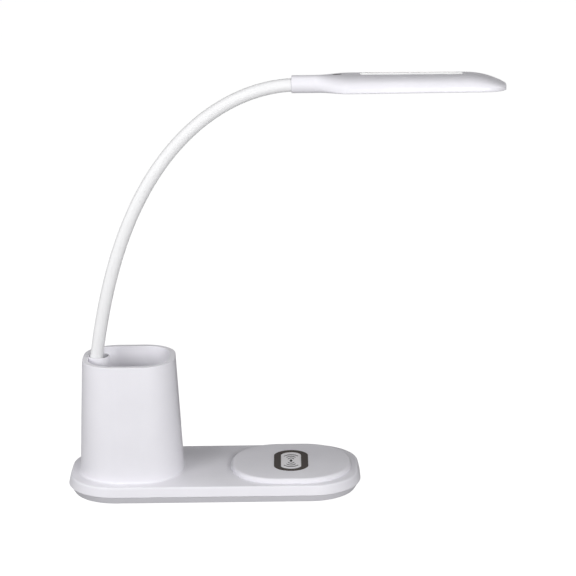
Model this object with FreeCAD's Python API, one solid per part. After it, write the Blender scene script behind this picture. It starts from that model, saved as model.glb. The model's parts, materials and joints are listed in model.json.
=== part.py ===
import FreeCAD, Part
import math
import os

from FreeCAD import Rotation, Vector

# LED desk lamp with a pen cup and a charging pad on one long base, in millimetres.
# Origin: centre of the base's footprint on the desk.  +X runs to the charging pad,
# +Y to the rear, +Z up.

# ---- base ----
BASE_LENGTH = 250.0
BASE_DEPTH = 107.4
BASE_CORNER_R = 42.8
BASE_TOP_Z = 16.2
BASE_SEAM_Z = 8.0
BASE_BOTTOM_Z = 1.0
BASE_TOP_INSET = 1.8
BASE_BOTTOM_INSET = 4.85
BASE_TOP_EDGE_R = 1.5
SHELL_WALL = 2.2
TOP_PLATE = 2.4
SEAM_GROOVE = 0.4
SEAM_STEP = 0.5
COVER_WALL = 2.0
COVER_FLOOR = 2.4
TONGUE_WALL = 1.2
TONGUE_RISE = 1.9
FIT_CLEARANCE = 0.15

# ---- anti-slip ring under the base ----
RING_MARGIN = 9.5
RING_WIDTH = 6.0
RING_SEAT = 0.6

# ---- screws, M3 in the base and cup ----
SCREW_R = 1.5
SCREW_HOLE_R = 1.7
SCREW_HEAD_R = 2.8
SCREW_HEAD_H = 1.6
SCREW_LENGTH = 10.0
POST_R = 3.5
POST_END_MARGIN = 43.0
POST_SIDE_MARGIN = 9.2
POST_JOIN_Z = 7.0
POST_WEB = 1.6

# ---- steel ballast ----
BALLAST_END_MARGIN = 38.0
BALLAST_SIDE_MARGIN = 15.7
BALLAST_TO_MIDDLE = 5.0
BALLAST_THICK = 3.0
BALLAST_CORNER_R = 8.0

# ---- pen cup ----
CUP_END_MARGIN = 53.8
CUP_TOP_Z = 115.8
CUP_FOOT_LENGTH = 88.4
CUP_FOOT_DEPTH = 84.0
CUP_FOOT_R = 36.9
CUP_RIM_LENGTH = 78.3
CUP_RIM_DEPTH = 69.2
CUP_RIM_R = 27.7
CUP_WALL = 2.2
CUP_RIM_WIDTH = 5.0
CUP_RIM_EDGE_R = 0.8
LINER_WALL = 1.6
LINER_FOOT_LENGTH = 62.0
LINER_FOOT_DEPTH = 55.0
LINER_FOOT_R = 20.0
LINER_FLOOR = 3.5
CUP_SCREW_X = 31.0
CUP_SCREW_Y = 27.0
CUP_BOSS_R = 3.0
CUP_BOSS_H = 12.0

# ---- column in the cup that carries the arm ----
COLUMN_FROM_CUP = 26.0
COLUMN_Y = 1.0
COLUMN_R = 9.3
COLUMN_TOP_Z = 114.3
COLUMN_MOUTH_R = 7.9
COLUMN_MOUTH_DEPTH = 8.0

# ---- flexible arm ----
ARM_FROM_COLUMN = 1.7
ARM_LENGTH = 310.0
ARM_START_DEG = 81.6
ARM_END_DEG = 2.0
ARM_CURL_EARLY = 0.305
ARM_CURL_MIDDLE = 0.304
ARM_JOINTS = 12
ARM_FIRST_JOINT = 13.0
ARM_LAST_JOINT = 294.6
SLEEVE_R = 5.5
SLEEVE_DIP = 2.0
CORE_R = 4.0
CORE_BORE_R = 2.4
BALL_R = 3.0
BALL_CLEARANCE = 0.05
BALL_BORE_R = 1.1
NECK_R = 1.9
SHOULDER_GAP = 3.2
SOCKET_SKIRT = 1.2
SOCKET_ROOF = 1.2
LINK_BEND_DEG = 20.0
SLEEVE_END_CLEARANCE = 0.15
SLEEVE_MOUTH_R = 4.35

# ---- stem and its nut ----
STEM_R = 4.5
STEM_BORE_R = 2.4
STEM_TOP_DROP = 5.3
STEM_FLANGE_R = 8.0
STEM_FLANGE_H = 1.5
WASHER_R = 9.0
WASHER_H = 1.0
NUT_FLATS = 13.0
NUT_H = 2.6
STEM_TAIL = 0.35

# ---- charging pad ----
PAD_END_MARGIN = 59.5
PAD_FORWARD = 1.3
PAD_TOP_Z = 20.35
PAD_FOOT_LENGTH = 103.6
PAD_FOOT_DEPTH = 91.0
PAD_FOOT_R = 41.5
PAD_TOP_INSET = 0.6
PAD_EDGE_R = 2.2
PAD_ROOF = 1.6
SPIGOT_MARGIN = 6.0
SPIGOT_DEPTH = 4.0
SPIGOT_WALL = 1.8
SNAP_LENGTH = 8.0
SNAP_OUT = 1.0
SNAP_H = 1.2
GRIP_WIDTH = 29.4
GRIP_LENGTH = 51.4
GRIP_END_R = 15.2
GRIP_STROKE = 6.0
GRIP_END_STROKE = 4.6
GRIP_SEAT = 0.8
GRIP_PROUD = 0.4
SYMBOL_PLATE_THICK = 0.7
COIL_OUTER_R = 21.5
COIL_INNER_R = 10.0
COIL_H = 1.2
FERRITE_SIDE = 50.0
FERRITE_H = 0.8

# ---- charger board and power inlet ----
BOARD_FROM_PAD = 38.7
BOARD_WIDTH = 42.0
BOARD_LENGTH = 79.3
BOARD_REAR_MARGIN = 6.4
BOARD_THICK = 1.6
BOARD_Z = 8.2
STANDOFF_R = 2.6
BOARD_SCREW_R = 1.0
BOARD_SCREW_HEAD_R = 1.9
BOARD_SCREW_HEAD_H = 1.2
BOARD_SCREW_LENGTH = 5.0
BOARD_SCREW_EDGE = 4.0
INLET_FROM_BOARD = 2.0
INLET_WIDTH = 9.0
INLET_HEIGHT = 3.2
INLET_LENGTH = 7.4
INLET_FACE_RECESS = 0.8
INLET_LIP = 0.35
INLET_TONGUE = 0.7
INLET_SLOT_CLEARANCE = 0.3

# ---- lead wire ----
LEAD_R = 0.9
LEAD_BEND_R = 3.0
LEAD_RUN_Z = 7.9
LEAD_RAMP_START = 14.0
LEAD_RAMP_END = 5.0
LEAD_LAP = 5.0

# ---- parts on the charger board: side or radius, height, place from the board's middle ----
CHIP_SIDE = 7.0
CHIP_H = 1.0
CHIP_PLACE = (-4.0, -5.6)
DRIVER_SIDE = 5.5
DRIVER_H = 1.2
DRIVER_PLACE = (9.0, -3.6)
CHOKE_SIDE = 6.5
CHOKE_H = 2.4
CHOKE_PLACE = (-5.0, 10.4)
CAPACITOR_R = 1.6
CAPACITOR_H = 2.4
CAPACITOR_PITCH = 4.2
CAPACITOR_PLACE = (6.0, -19.6)
CAPACITOR_COUNT = 3

# ---- lamp head, measured from the end of its neck ----
HEAD_RISE = 0.6
HEAD_LENGTH = 175.5
NECK_OUTER_R = 7.3
NECK_STRAIGHT = 18.0
FLARE_LENGTH = 28.0
HEAD_HALF_WIDTH_REAR = 26.0
HEAD_HALF_WIDTH_FRONT = 24.2
HEAD_CORNER_R = 18.0
HEAD_CREST_REAR = 7.9
HEAD_CREST_FRONT = 7.4
HEAD_BASE = -5.3
HEAD_SEAM = -3.0
TIP_RUN = 32.5
TIP_DROP = 8.4
DOME_POWER = 2.6
UNDERSIDE_POWER = 6.0
HEAD_WALL = 2.0
COLLAR_SOLID = 14.0
SLEEVE_GRIP = 5.0
CORE_GRIP = 11.0
LOWER_COVER_START = 22.0
GRUB_X = 8.0
GRUB_R = 1.5
GRUB_LENGTH = 2.6

# ---- light in the head ----
WINDOW_REAR_MARGIN = 50.0
WINDOW_TIP_MARGIN = 21.5
WINDOW_SIDE_MARGIN = 8.0
WINDOW_R = 6.0
DIFFUSER_FLANGE = 3.0
DIFFUSER_FLANGE_H = 1.0
DIFFUSER_RECESS = 0.2
REFLECTOR_H = 2.4
REFLECTOR_WALL = 2.0
LED_BOARD_H = 1.0
LED_ROWS = 3
LED_COLUMNS = 8
LED_LENGTH = 3.5
LED_WIDTH = 2.8
LED_H = 0.7
LED_END_MARGIN = 10.0
LED_SIDE_MARGIN = 7.0
CLAMP_POST_R = 2.0
CLAMP_END_MARGIN = 12.0
CLAMP_SIDE_MARGIN = 6.0
HEAD_SCREW_R = 1.0
HEAD_SCREW_HEAD_R = 1.9
HEAD_SCREW_HEAD_H = 1.0
HEAD_SCREW_LENGTH = 4.0
HEAD_POST_R = 2.3
HEAD_SCREW_FROM_WINDOW = 7.0
HEAD_SCREW_FROM_TIP = 10.0
HEAD_SCREW_REAR_MARGIN = 13.5
HEAD_SCREW_FRONT_MARGIN = 14.2

# ---- inlay and touch key on top of the head ----
INLAY_REAR_MARGIN = 56.3
INLAY_TIP_MARGIN = 35.2
INLAY_WIDTH = 13.2
INLAY_R = 5.0
INLAY_FLOOR = 6.5
KEY_X = 37.5
KEY_LENGTH = 7.5
KEY_WIDTH = 4.0
KEY_FLOOR = 6.3
TRIM_CLEARANCE = 0.1
TOUCH_BOARD_LENGTH = 9.0
TOUCH_BOARD_WIDTH = 6.0
TOUCH_BOARD_H = 1.0
TOUCH_BOARD_X = 38.5
TOUCH_BOARD_DROP = 0.5
CONTACT_PAD_R = 1.5

# ---- places worked out from the sizes above ----
CUP_X = CUP_END_MARGIN - BASE_LENGTH / 2
COLUMN_X = CUP_X - COLUMN_FROM_CUP
ARM_START_X = COLUMN_X - ARM_FROM_COLUMN
PAD_X = BASE_LENGTH / 2 - PAD_END_MARGIN
PAD_Y = -PAD_FORWARD
BOARD_X = PAD_X - BOARD_FROM_PAD
BOARD_REAR_Y = BASE_DEPTH / 2 - BOARD_REAR_MARGIN
BOARD_Y = BOARD_REAR_Y - BOARD_LENGTH / 2
INLET_X = BOARD_X - INLET_FROM_BOARD
WINDOW_LENGTH = HEAD_LENGTH - WINDOW_REAR_MARGIN - WINDOW_TIP_MARGIN
WINDOW_X = WINDOW_REAR_MARGIN + WINDOW_LENGTH / 2
WINDOW_WIDTH = 2 * ((HEAD_HALF_WIDTH_REAR + HEAD_HALF_WIDTH_FRONT) / 2 - WINDOW_SIDE_MARGIN)
INLAY_LENGTH = HEAD_LENGTH - INLAY_REAR_MARGIN - INLAY_TIP_MARGIN
INLAY_X = INLAY_REAR_MARGIN + INLAY_LENGTH / 2
TOP_PLATE_UNDER_Z = BASE_TOP_Z - TOP_PLATE
FLOOR_TOP_Z = BASE_BOTTOM_Z + COVER_FLOOR
SLEEVE_HALF_GAP = SLEEVE_R * math.tan(math.radians(LINK_BEND_DEG / 2)) + SLEEVE_END_CLEARANCE


# ---------------------------------------------------------------- helpers

def rounded_outline(length, depth, radius, z=0.0, x=0.0, y=0.0):
    """Closed wire of a rectangle with round corners."""
    half_x = length / 2
    half_y = depth / 2
    r = min(radius, half_x - 0.05, half_y - 0.05)
    edges = []
    for quarter, (side_x, side_y) in enumerate(((1, 1), (-1, 1), (-1, -1), (1, -1))):
        centre = Vector(x + side_x * (half_x - r), y + side_y * (half_y - r), z)
        turns = [math.radians(90 * quarter + step) for step in (0, 45, 90)]
        points = [centre + Vector(math.cos(turn), math.sin(turn), 0) * r for turn in turns]
        if edges:
            edges.append(Part.makeLine(edges[-1].lastVertex().Point, points[0]))
        edges.append(Part.Arc(*points).toShape())
    edges.append(Part.makeLine(edges[-1].lastVertex().Point, edges[0].firstVertex().Point))
    return Part.Wire(edges)


def plate(length, depth, radius, low, high, x=0.0, y=0.0):
    """Flat plate with round corners between two heights."""
    face = Part.Face(rounded_outline(length, depth, radius, low, x, y))
    return face.extrude(Vector(0, 0, high - low))


def drafted(low_outline, high_outline):
    """Solid between two round-cornered outlines of different size."""
    return Part.makeLoft([low_outline, high_outline], True, True)


def rod(radius, low, high, x=0.0, y=0.0):
    """Upright cylinder between two heights."""
    return Part.makeCylinder(radius, high - low, Vector(x, y, low))


def tube(outer, inner, low, high, x=0.0, y=0.0):
    """Upright tube between two heights."""
    return rod(outer, low, high, x, y).cut(rod(inner, low - 1, high + 1, x, y))


def block(length, depth, low, high, x=0.0, y=0.0):
    """Box centred on x and y, between two heights."""
    return Part.makeBox(length, depth, high - low, Vector(x - length / 2, y - depth / 2, low))


def fused(shapes):
    """One solid from touching shapes."""
    whole = shapes[0].fuse(list(shapes[1:]))
    return whole.removeSplitter()


def edges_at(shape, z, tolerance=0.01):
    """Edges that lie wholly at one height."""
    return [
        edge for edge in shape.Edges
        if abs(edge.BoundBox.ZMin - z) < tolerance and abs(edge.BoundBox.ZMax - z) < tolerance
    ]


def corners(half_x, half_y, x=0.0, y=0.0):
    """The four places of a rectangular pattern."""
    return [(x + i * half_x, y + j * half_y) for i in (-1, 1) for j in (-1, 1)]


def rounded_path(points, radius):
    """Wire of straight runs joined by tangent arcs."""
    edges = []
    start = points[0]
    for before, corner, after in zip(points, points[1:], points[2:]):
        into = (corner - before).normalize()
        out = (after - corner).normalize()
        turn = into.getAngle(out)
        setback = radius * math.tan(turn / 2)
        first = corner - into * setback
        last = corner + out * setback
        bisector = (out - into).normalize()
        middle = corner + bisector * (radius / math.cos(turn / 2) - radius)
        edges.append(Part.makeLine(start, first))
        edges.append(Part.Arc(first, middle, last).toShape())
        start = last
    edges.append(Part.makeLine(start, points[-1]))
    return Part.Wire(edges)


def round_wire(points, bend_radius, wire_radius):
    """Wire or cable of round section along straight runs and arcs."""
    path = rounded_path(points, bend_radius)
    direction = points[1] - points[0]
    section = Part.Wire(Part.makeCircle(wire_radius, points[0], direction))
    return path.makePipeShell([section], True, True)


# ---------------------------------------------------------------- base

def base_outline(inset, z):
    """Outline of the base, drawn in by an inset."""
    return rounded_outline(
        BASE_LENGTH - 2 * inset, BASE_DEPTH - 2 * inset, BASE_CORNER_R - inset, z
    )


def base_posts():
    """Places of the six screws that close the base."""
    end_x = BASE_LENGTH / 2 - POST_END_MARGIN
    side_y = BASE_DEPTH / 2 - POST_SIDE_MARGIN
    return [(x, y) for x in (-end_x, 0.0, end_x) for y in (-side_y, side_y)]


def board_posts():
    """Places of the four charger board screws."""
    half_x = BOARD_WIDTH / 2 - BOARD_SCREW_EDGE
    half_y = BOARD_LENGTH / 2 - 2 * BOARD_SCREW_EDGE
    return corners(half_x, half_y, BOARD_X, BOARD_Y)


def cup_posts():
    """Places of the four screws that hold the cup on the base."""
    return corners(CUP_SCREW_X, CUP_SCREW_Y, CUP_X)


def shell_inset_at(z):
    """How far the upper shell's side has drawn in at a height."""
    return BASE_TOP_INSET * (z - BASE_SEAM_Z) / (BASE_TOP_Z - BASE_SEAM_Z)


def inlet_mid_z():
    return BOARD_Z + BOARD_THICK + INLET_HEIGHT / 2


def inlet_prism(width, height, front_y, rear_y):
    """Flat-oval bar along Y at the power inlet's place."""
    z = inlet_mid_z()
    bar = block(width - height, rear_y - front_y, z - height / 2, z + height / 2,
                INLET_X, (front_y + rear_y) / 2)
    ends = [
        Part.makeCylinder(height / 2, rear_y - front_y, Vector(x, front_y, z), Vector(0, 1, 0))
        for x in (INLET_X - (width - height) / 2, INLET_X + (width - height) / 2)
    ]
    return fused([bar] + ends)


def pad_spigot(extra):
    """Outline sizes of the pad's spigot, grown by a clearance."""
    return (
        PAD_FOOT_LENGTH - 2 * SPIGOT_MARGIN + 2 * extra,
        PAD_FOOT_DEPTH - 2 * SPIGOT_MARGIN + 2 * extra,
        PAD_FOOT_R - SPIGOT_MARGIN + extra,
    )


def base_top_shell():
    shell = drafted(base_outline(0, BASE_SEAM_Z), base_outline(BASE_TOP_INSET, BASE_TOP_Z))
    shell = shell.makeFillet(BASE_TOP_EDGE_R, edges_at(shell, BASE_TOP_Z))
    under_inset = SHELL_WALL + shell_inset_at(TOP_PLATE_UNDER_Z)
    hollow = drafted(
        base_outline(SHELL_WALL, BASE_SEAM_Z), base_outline(under_inset, TOP_PLATE_UNDER_Z)
    )
    shell = shell.cut(hollow)
    posts = [rod(POST_R, POST_JOIN_Z, BASE_TOP_Z - TOP_PLATE / 2, x, y) for x, y in base_posts()]
    shell = fused([shell] + posts)
    screw_top = FLOOR_TOP_Z + POST_WEB - COVER_FLOOR + SCREW_LENGTH
    holes = [rod(SCREW_R, POST_JOIN_Z - 1, screw_top, x, y) for x, y in base_posts()]
    holes += [rod(SCREW_HOLE_R, TOP_PLATE_UNDER_Z - 1, BASE_TOP_Z + 1, x, y) for x, y in cup_posts()]
    holes.append(rod(STEM_R + FIT_CLEARANCE, TOP_PLATE_UNDER_Z - 1, BASE_TOP_Z + 1, stem_x()))
    length, depth, radius = pad_spigot(FIT_CLEARANCE)
    holes.append(plate(length, depth, radius, TOP_PLATE_UNDER_Z - 1, BASE_TOP_Z + 1, PAD_X, PAD_Y))
    holes.append(inlet_prism(
        INLET_WIDTH + 2 * INLET_SLOT_CLEARANCE, INLET_HEIGHT + 2 * INLET_SLOT_CLEARANCE,
        BASE_DEPTH / 2 - 2 * SHELL_WALL, BASE_DEPTH / 2 + 1,
    ))
    return shell.cut(holes)


def cover_inset_at(z):
    """How far the bottom cover's side has drawn in at a height."""
    rise = (BASE_SEAM_Z - z) / (BASE_SEAM_Z - BASE_BOTTOM_Z)
    return SEAM_STEP + (BASE_BOTTOM_INSET - SEAM_STEP) * rise


def ring_plate(inset, low, high):
    """Plate with the bottom outline, drawn in by an inset."""
    total = BASE_BOTTOM_INSET + inset
    face = Part.Face(base_outline(total, low))
    return face.extrude(Vector(0, 0, high - low))


def anti_slip_ring():
    high = BASE_BOTTOM_Z + RING_SEAT
    outer = ring_plate(RING_MARGIN, 0.0, high)
    return outer.cut(ring_plate(RING_MARGIN + RING_WIDTH, -1.0, high + 1))


def base_bottom_cover():
    rim_z = BASE_SEAM_Z - SEAM_GROOVE
    tray = drafted(
        base_outline(BASE_BOTTOM_INSET, BASE_BOTTOM_Z), base_outline(cover_inset_at(rim_z), rim_z)
    )
    hollow = drafted(
        base_outline(cover_inset_at(FLOOR_TOP_Z) + COVER_WALL, FLOOR_TOP_Z),
        base_outline(cover_inset_at(rim_z) + COVER_WALL, rim_z + 0.01),
    )
    tray = tray.cut(hollow)
    tongue_outer = SHELL_WALL + shell_inset_at(rim_z + TONGUE_RISE) + FIT_CLEARANCE
    tongue = Part.Face(base_outline(tongue_outer, rim_z - 1)).extrude(Vector(0, 0, TONGUE_RISE + 1))
    inside = Part.Face(base_outline(tongue_outer + TONGUE_WALL, rim_z - 2))
    tongue = tongue.cut(inside.extrude(Vector(0, 0, TONGUE_RISE + 4)))
    inlet_gap = block(INLET_WIDTH + 2, 4 * SHELL_WALL, BASE_SEAM_Z, rim_z + TONGUE_RISE + 1,
                      INLET_X, BASE_DEPTH / 2)
    tongue = tongue.cut(inlet_gap)
    posts = [rod(POST_R, FLOOR_TOP_Z - 0.5, POST_JOIN_Z, x, y) for x, y in base_posts()]
    standoffs = [rod(STANDOFF_R, FLOOR_TOP_Z - 0.5, BOARD_Z, x, y) for x, y in board_posts()]
    cover = fused([tray, tongue] + posts + standoffs)
    head_seat = FLOOR_TOP_Z + POST_WEB - COVER_FLOOR
    cuts = [rod(SCREW_HOLE_R, BASE_BOTTOM_Z - 1, POST_JOIN_Z + 1, x, y) for x, y in base_posts()]
    cuts += [rod(SCREW_HEAD_R + FIT_CLEARANCE, BASE_BOTTOM_Z - 1, head_seat, x, y)
             for x, y in base_posts()]
    board_screw_end = BOARD_Z + BOARD_THICK - BOARD_SCREW_LENGTH
    cuts += [rod(BOARD_SCREW_R, board_screw_end, BOARD_Z + 1, x, y) for x, y in board_posts()]
    groove_top = BASE_BOTTOM_Z + RING_SEAT
    groove = ring_plate(RING_MARGIN, BASE_BOTTOM_Z - 1, groove_top)
    cuts.append(groove.cut(ring_plate(RING_MARGIN + RING_WIDTH, BASE_BOTTOM_Z - 2, groove_top + 1)))
    return cover.cut(cuts)


def pan_screw(x, y, seat_z, direction, sizes):
    """Pan-head screw; its head sits against seat_z and its shank runs along direction."""
    shank_r, length, head_r, head_h = sizes
    axis = Vector(0, 0, direction)
    seat = Vector(x, y, seat_z)
    head = Part.makeCylinder(head_r, head_h, seat, axis * -1)
    shank = Part.makeCylinder(shank_r, length, seat, axis)
    return fused([head, shank])


def base_screws():
    seat = FLOOR_TOP_Z + POST_WEB - COVER_FLOOR
    sizes = (SCREW_R, SCREW_LENGTH, SCREW_HEAD_R, SCREW_HEAD_H)
    return Part.makeCompound([pan_screw(x, y, seat, 1, sizes) for x, y in base_posts()])


def board_screws():
    sizes = (BOARD_SCREW_R, BOARD_SCREW_LENGTH, BOARD_SCREW_HEAD_R, BOARD_SCREW_HEAD_H)
    seat = BOARD_Z + BOARD_THICK
    return Part.makeCompound([pan_screw(x, y, seat, -1, sizes) for x, y in board_posts()])


def cup_screws():
    sizes = (SCREW_R, SCREW_LENGTH, SCREW_HEAD_R, SCREW_HEAD_H)
    return Part.makeCompound(
        [pan_screw(x, y, TOP_PLATE_UNDER_Z, 1, sizes) for x, y in cup_posts()]
    )


def ballast_plate():
    """Steel plate on the floor, from the cup's end of the base almost to its middle."""
    left = BALLAST_END_MARGIN - BASE_LENGTH / 2
    length = -BALLAST_TO_MIDDLE - left
    depth = BASE_DEPTH - 2 * BALLAST_SIDE_MARGIN
    return plate(length, depth, BALLAST_CORNER_R, FLOOR_TOP_Z, FLOOR_TOP_Z + BALLAST_THICK,
                 left + length / 2)


# ---------------------------------------------------------------- charger

def charger_board():
    board = block(BOARD_WIDTH, BOARD_LENGTH, BOARD_Z, BOARD_Z + BOARD_THICK, BOARD_X, BOARD_Y)
    holes = [rod(BOARD_SCREW_R + 0.1, BOARD_Z - 1, BOARD_Z + 3, x, y) for x, y in board_posts()]
    return board.cut(holes)


def on_board(place):
    """A place on the charger board, from its middle."""
    return BOARD_X + place[0], BOARD_Y + place[1]


def charger_components():
    """Chip, driver, choke and capacitors that stand on the charger board."""
    top = BOARD_Z + BOARD_THICK
    chip = block(CHIP_SIDE, CHIP_SIDE, top, top + CHIP_H, *on_board(CHIP_PLACE))
    driver = block(DRIVER_SIDE, DRIVER_SIDE, top, top + DRIVER_H, *on_board(DRIVER_PLACE))
    choke = block(CHOKE_SIDE, CHOKE_SIDE, top, top + CHOKE_H, *on_board(CHOKE_PLACE))
    first_x, row_y = on_board(CAPACITOR_PLACE)
    capacitors = [
        rod(CAPACITOR_R, top, top + CAPACITOR_H, first_x + CAPACITOR_PITCH * i, row_y)
        for i in range(CAPACITOR_COUNT)
    ]
    return Part.makeCompound([chip, driver, choke] + capacitors)


def power_inlet():
    """Flat-oval socket: a metal can with a tongue in its mouth."""
    mouth_y = BASE_DEPTH / 2 - shell_inset_at(inlet_mid_z()) - INLET_FACE_RECESS
    can = inlet_prism(INLET_WIDTH, INLET_HEIGHT, mouth_y - INLET_LENGTH, mouth_y)
    mouth = inlet_prism(
        INLET_WIDTH - 2 * INLET_LIP, INLET_HEIGHT - 2 * INLET_LIP,
        mouth_y - INLET_LENGTH + INLET_LIP + 1, mouth_y + 1,
    )
    tongue_width = INLET_WIDTH - 3 * INLET_TONGUE
    tongue = block(tongue_width, INLET_LENGTH - 2, inlet_mid_z() - INLET_TONGUE / 2,
                   inlet_mid_z() + INLET_TONGUE / 2, INLET_X, mouth_y - INLET_LENGTH / 2 - 0.5)
    return fused([can.cut(mouth), tongue])


def pad_top_outline(z, extra_inset=0.0):
    inset = 2 * (PAD_TOP_INSET + extra_inset)
    return rounded_outline(PAD_FOOT_LENGTH - inset, PAD_FOOT_DEPTH - inset,
                           PAD_FOOT_R - inset / 2, z, PAD_X, PAD_Y)


def grip_outline(width, length, end_radius, z):
    """Straight-sided outline whose two ends are arcs, centred on the pad."""
    half = width / 2
    rise = end_radius - math.sqrt(end_radius ** 2 - half ** 2)
    shoulder = length / 2 - rise
    right_up = Vector(PAD_X + half, PAD_Y + shoulder, z)
    left_up = Vector(PAD_X - half, PAD_Y + shoulder, z)
    left_down = Vector(PAD_X - half, PAD_Y - shoulder, z)
    right_down = Vector(PAD_X + half, PAD_Y - shoulder, z)
    upper = Part.Arc(right_up, Vector(PAD_X, PAD_Y + length / 2, z), left_up).toShape()
    lower = Part.Arc(left_down, Vector(PAD_X, PAD_Y - length / 2, z), right_down).toShape()
    return Part.Wire([
        upper, Part.makeLine(left_up, left_down), lower, Part.makeLine(right_down, right_up)
    ])


def grip_bar(side_inset, end_inset, low, high):
    """Prism of the grip ring's outline, drawn in at its sides and at its ends."""
    outline = grip_outline(
        GRIP_WIDTH - 2 * side_inset, GRIP_LENGTH - 2 * end_inset, GRIP_END_R - side_inset, low
    )
    return Part.Face(outline).extrude(Vector(0, 0, high - low))


def grip_window(low, high):
    """Prism of the opening inside the grip ring."""
    return grip_bar(GRIP_STROKE, GRIP_END_STROKE, low, high)


def charging_pad_cover():
    """Raised cover with a spigot that snaps into the base's top plate."""
    foot = rounded_outline(PAD_FOOT_LENGTH, PAD_FOOT_DEPTH, PAD_FOOT_R, BASE_TOP_Z, PAD_X, PAD_Y)
    cover = drafted(foot, pad_top_outline(PAD_TOP_Z))
    cover = cover.makeFillet(PAD_EDGE_R, edges_at(cover, PAD_TOP_Z))
    low = BASE_TOP_Z - SPIGOT_DEPTH
    length, depth, radius = pad_spigot(0.0)
    spigot = plate(length, depth, radius, low, BASE_TOP_Z + 1, PAD_X, PAD_Y)
    snap_high = TOP_PLATE_UNDER_Z - 0.1
    snap_low = snap_high - SNAP_H
    snaps = []
    for side in (-1, 1):
        end_x = PAD_X + side * length / 2
        side_y = PAD_Y + side * depth / 2
        snaps.append(block(SNAP_LENGTH, 2 * SNAP_OUT, snap_low, snap_high, PAD_X, side_y))
        snaps.append(block(2 * SNAP_OUT, SNAP_LENGTH, snap_low, snap_high, end_x, PAD_Y))
    cover = fused([cover, spigot] + snaps)
    cavity = plate(length - 2 * SPIGOT_WALL, depth - 2 * SPIGOT_WALL, radius - SPIGOT_WALL,
                   low - 1, PAD_TOP_Z - PAD_ROOF, PAD_X, PAD_Y)
    seat = grip_bar(0.0, 0.0, PAD_TOP_Z - GRIP_SEAT, PAD_TOP_Z + 1)
    return cover.cut([cavity, seat])


def pad_grip_ring():
    low = PAD_TOP_Z - GRIP_SEAT
    outer = grip_bar(0.0, 0.0, low, PAD_TOP_Z + GRIP_PROUD)
    return outer.cut(grip_window(low - 1, PAD_TOP_Z + GRIP_PROUD + 1))


def pad_symbol_plate():
    low = PAD_TOP_Z - GRIP_SEAT
    return grip_window(low, low + SYMBOL_PLATE_THICK)


def charging_coil():
    high = PAD_TOP_Z - PAD_ROOF
    return tube(COIL_OUTER_R, COIL_INNER_R, high - COIL_H, high, PAD_X, PAD_Y)


def ferrite_sheet():
    high = PAD_TOP_Z - PAD_ROOF - COIL_H
    return block(FERRITE_SIDE, FERRITE_SIDE, high - FERRITE_H, high, PAD_X, PAD_Y)


# ---------------------------------------------------------------- pen cup

def cup_size_at(z):
    """Length, depth and corner radius of the cup's outside at a height."""
    rise = (z - BASE_TOP_Z) / (CUP_TOP_Z - BASE_TOP_Z)
    foot = (CUP_FOOT_LENGTH, CUP_FOOT_DEPTH, CUP_FOOT_R)
    rim = (CUP_RIM_LENGTH, CUP_RIM_DEPTH, CUP_RIM_R)
    return [low + (high - low) * rise for low, high in zip(foot, rim)]


def cup_outline(z, inset=0.0):
    length, depth, radius = cup_size_at(z)
    return rounded_outline(length - 2 * inset, depth - 2 * inset, radius - inset, z, CUP_X)


def liner_outline(z, outset=0.0):
    """Inside of the cup at a height, grown by an outset."""
    low_z = BASE_TOP_Z + LINER_FLOOR
    rise = (z - low_z) / (CUP_TOP_Z - low_z)
    foot = (LINER_FOOT_LENGTH, LINER_FOOT_DEPTH, LINER_FOOT_R)
    rim = (CUP_RIM_LENGTH - 2 * CUP_RIM_WIDTH, CUP_RIM_DEPTH - 2 * CUP_RIM_WIDTH,
           CUP_RIM_R - CUP_RIM_WIDTH)
    length, depth, radius = [low + (high - low) * rise for low, high in zip(foot, rim)]
    return rounded_outline(length + 2 * outset, depth + 2 * outset, radius + outset, z, CUP_X)


def cup_outer_shell():
    lip_under = CUP_TOP_Z - CUP_WALL
    shell = drafted(cup_outline(BASE_TOP_Z), cup_outline(CUP_TOP_Z))
    hollow = drafted(cup_outline(BASE_TOP_Z - 1, CUP_WALL), cup_outline(lip_under, CUP_WALL))
    mouth = drafted(liner_outline(lip_under - 1), liner_outline(CUP_TOP_Z + 1))
    shell = shell.cut([hollow, mouth])
    shell = shell.makeFillet(CUP_RIM_EDGE_R, edges_at(shell, CUP_TOP_Z))
    bosses = [rod(CUP_BOSS_R, BASE_TOP_Z, BASE_TOP_Z + CUP_BOSS_H, x, y) for x, y in cup_posts()]
    shell = fused([shell] + bosses)
    screw_top = TOP_PLATE_UNDER_Z + SCREW_LENGTH
    cuts = [rod(SCREW_R, BASE_TOP_Z - 1, screw_top, x, y) for x, y in cup_posts()]
    cuts.append(rod(COLUMN_R + FIT_CLEARANCE, lip_under - 1, CUP_TOP_Z + 1, COLUMN_X, COLUMN_Y))
    return shell.cut(cuts)


def cup_liner():
    """Inner cup with the column that the arm stands in."""
    lip_under = CUP_TOP_Z - CUP_WALL
    floor_top = BASE_TOP_Z + LINER_FLOOR
    liner = drafted(liner_outline(BASE_TOP_Z, LINER_WALL), liner_outline(lip_under, LINER_WALL))
    room = drafted(liner_outline(floor_top), liner_outline(lip_under + 1))
    liner = liner.cut(room)
    column = rod(COLUMN_R, BASE_TOP_Z, COLUMN_TOP_Z, COLUMN_X, COLUMN_Y)
    liner = fused([liner, column])
    mouth_floor = COLUMN_TOP_Z - COLUMN_MOUTH_DEPTH
    cuts = [
        rod(COLUMN_MOUTH_R, mouth_floor, COLUMN_TOP_Z + 1, COLUMN_X, COLUMN_Y),
        rod(STEM_R + FIT_CLEARANCE, BASE_TOP_Z - 1, COLUMN_TOP_Z, stem_x()),
        rod(STEM_FLANGE_R + FIT_CLEARANCE, BASE_TOP_Z - 1,
            BASE_TOP_Z + STEM_FLANGE_H + FIT_CLEARANCE, stem_x()),
    ]
    return liner.cut(cuts)


# ---------------------------------------------------------------- arm

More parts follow.
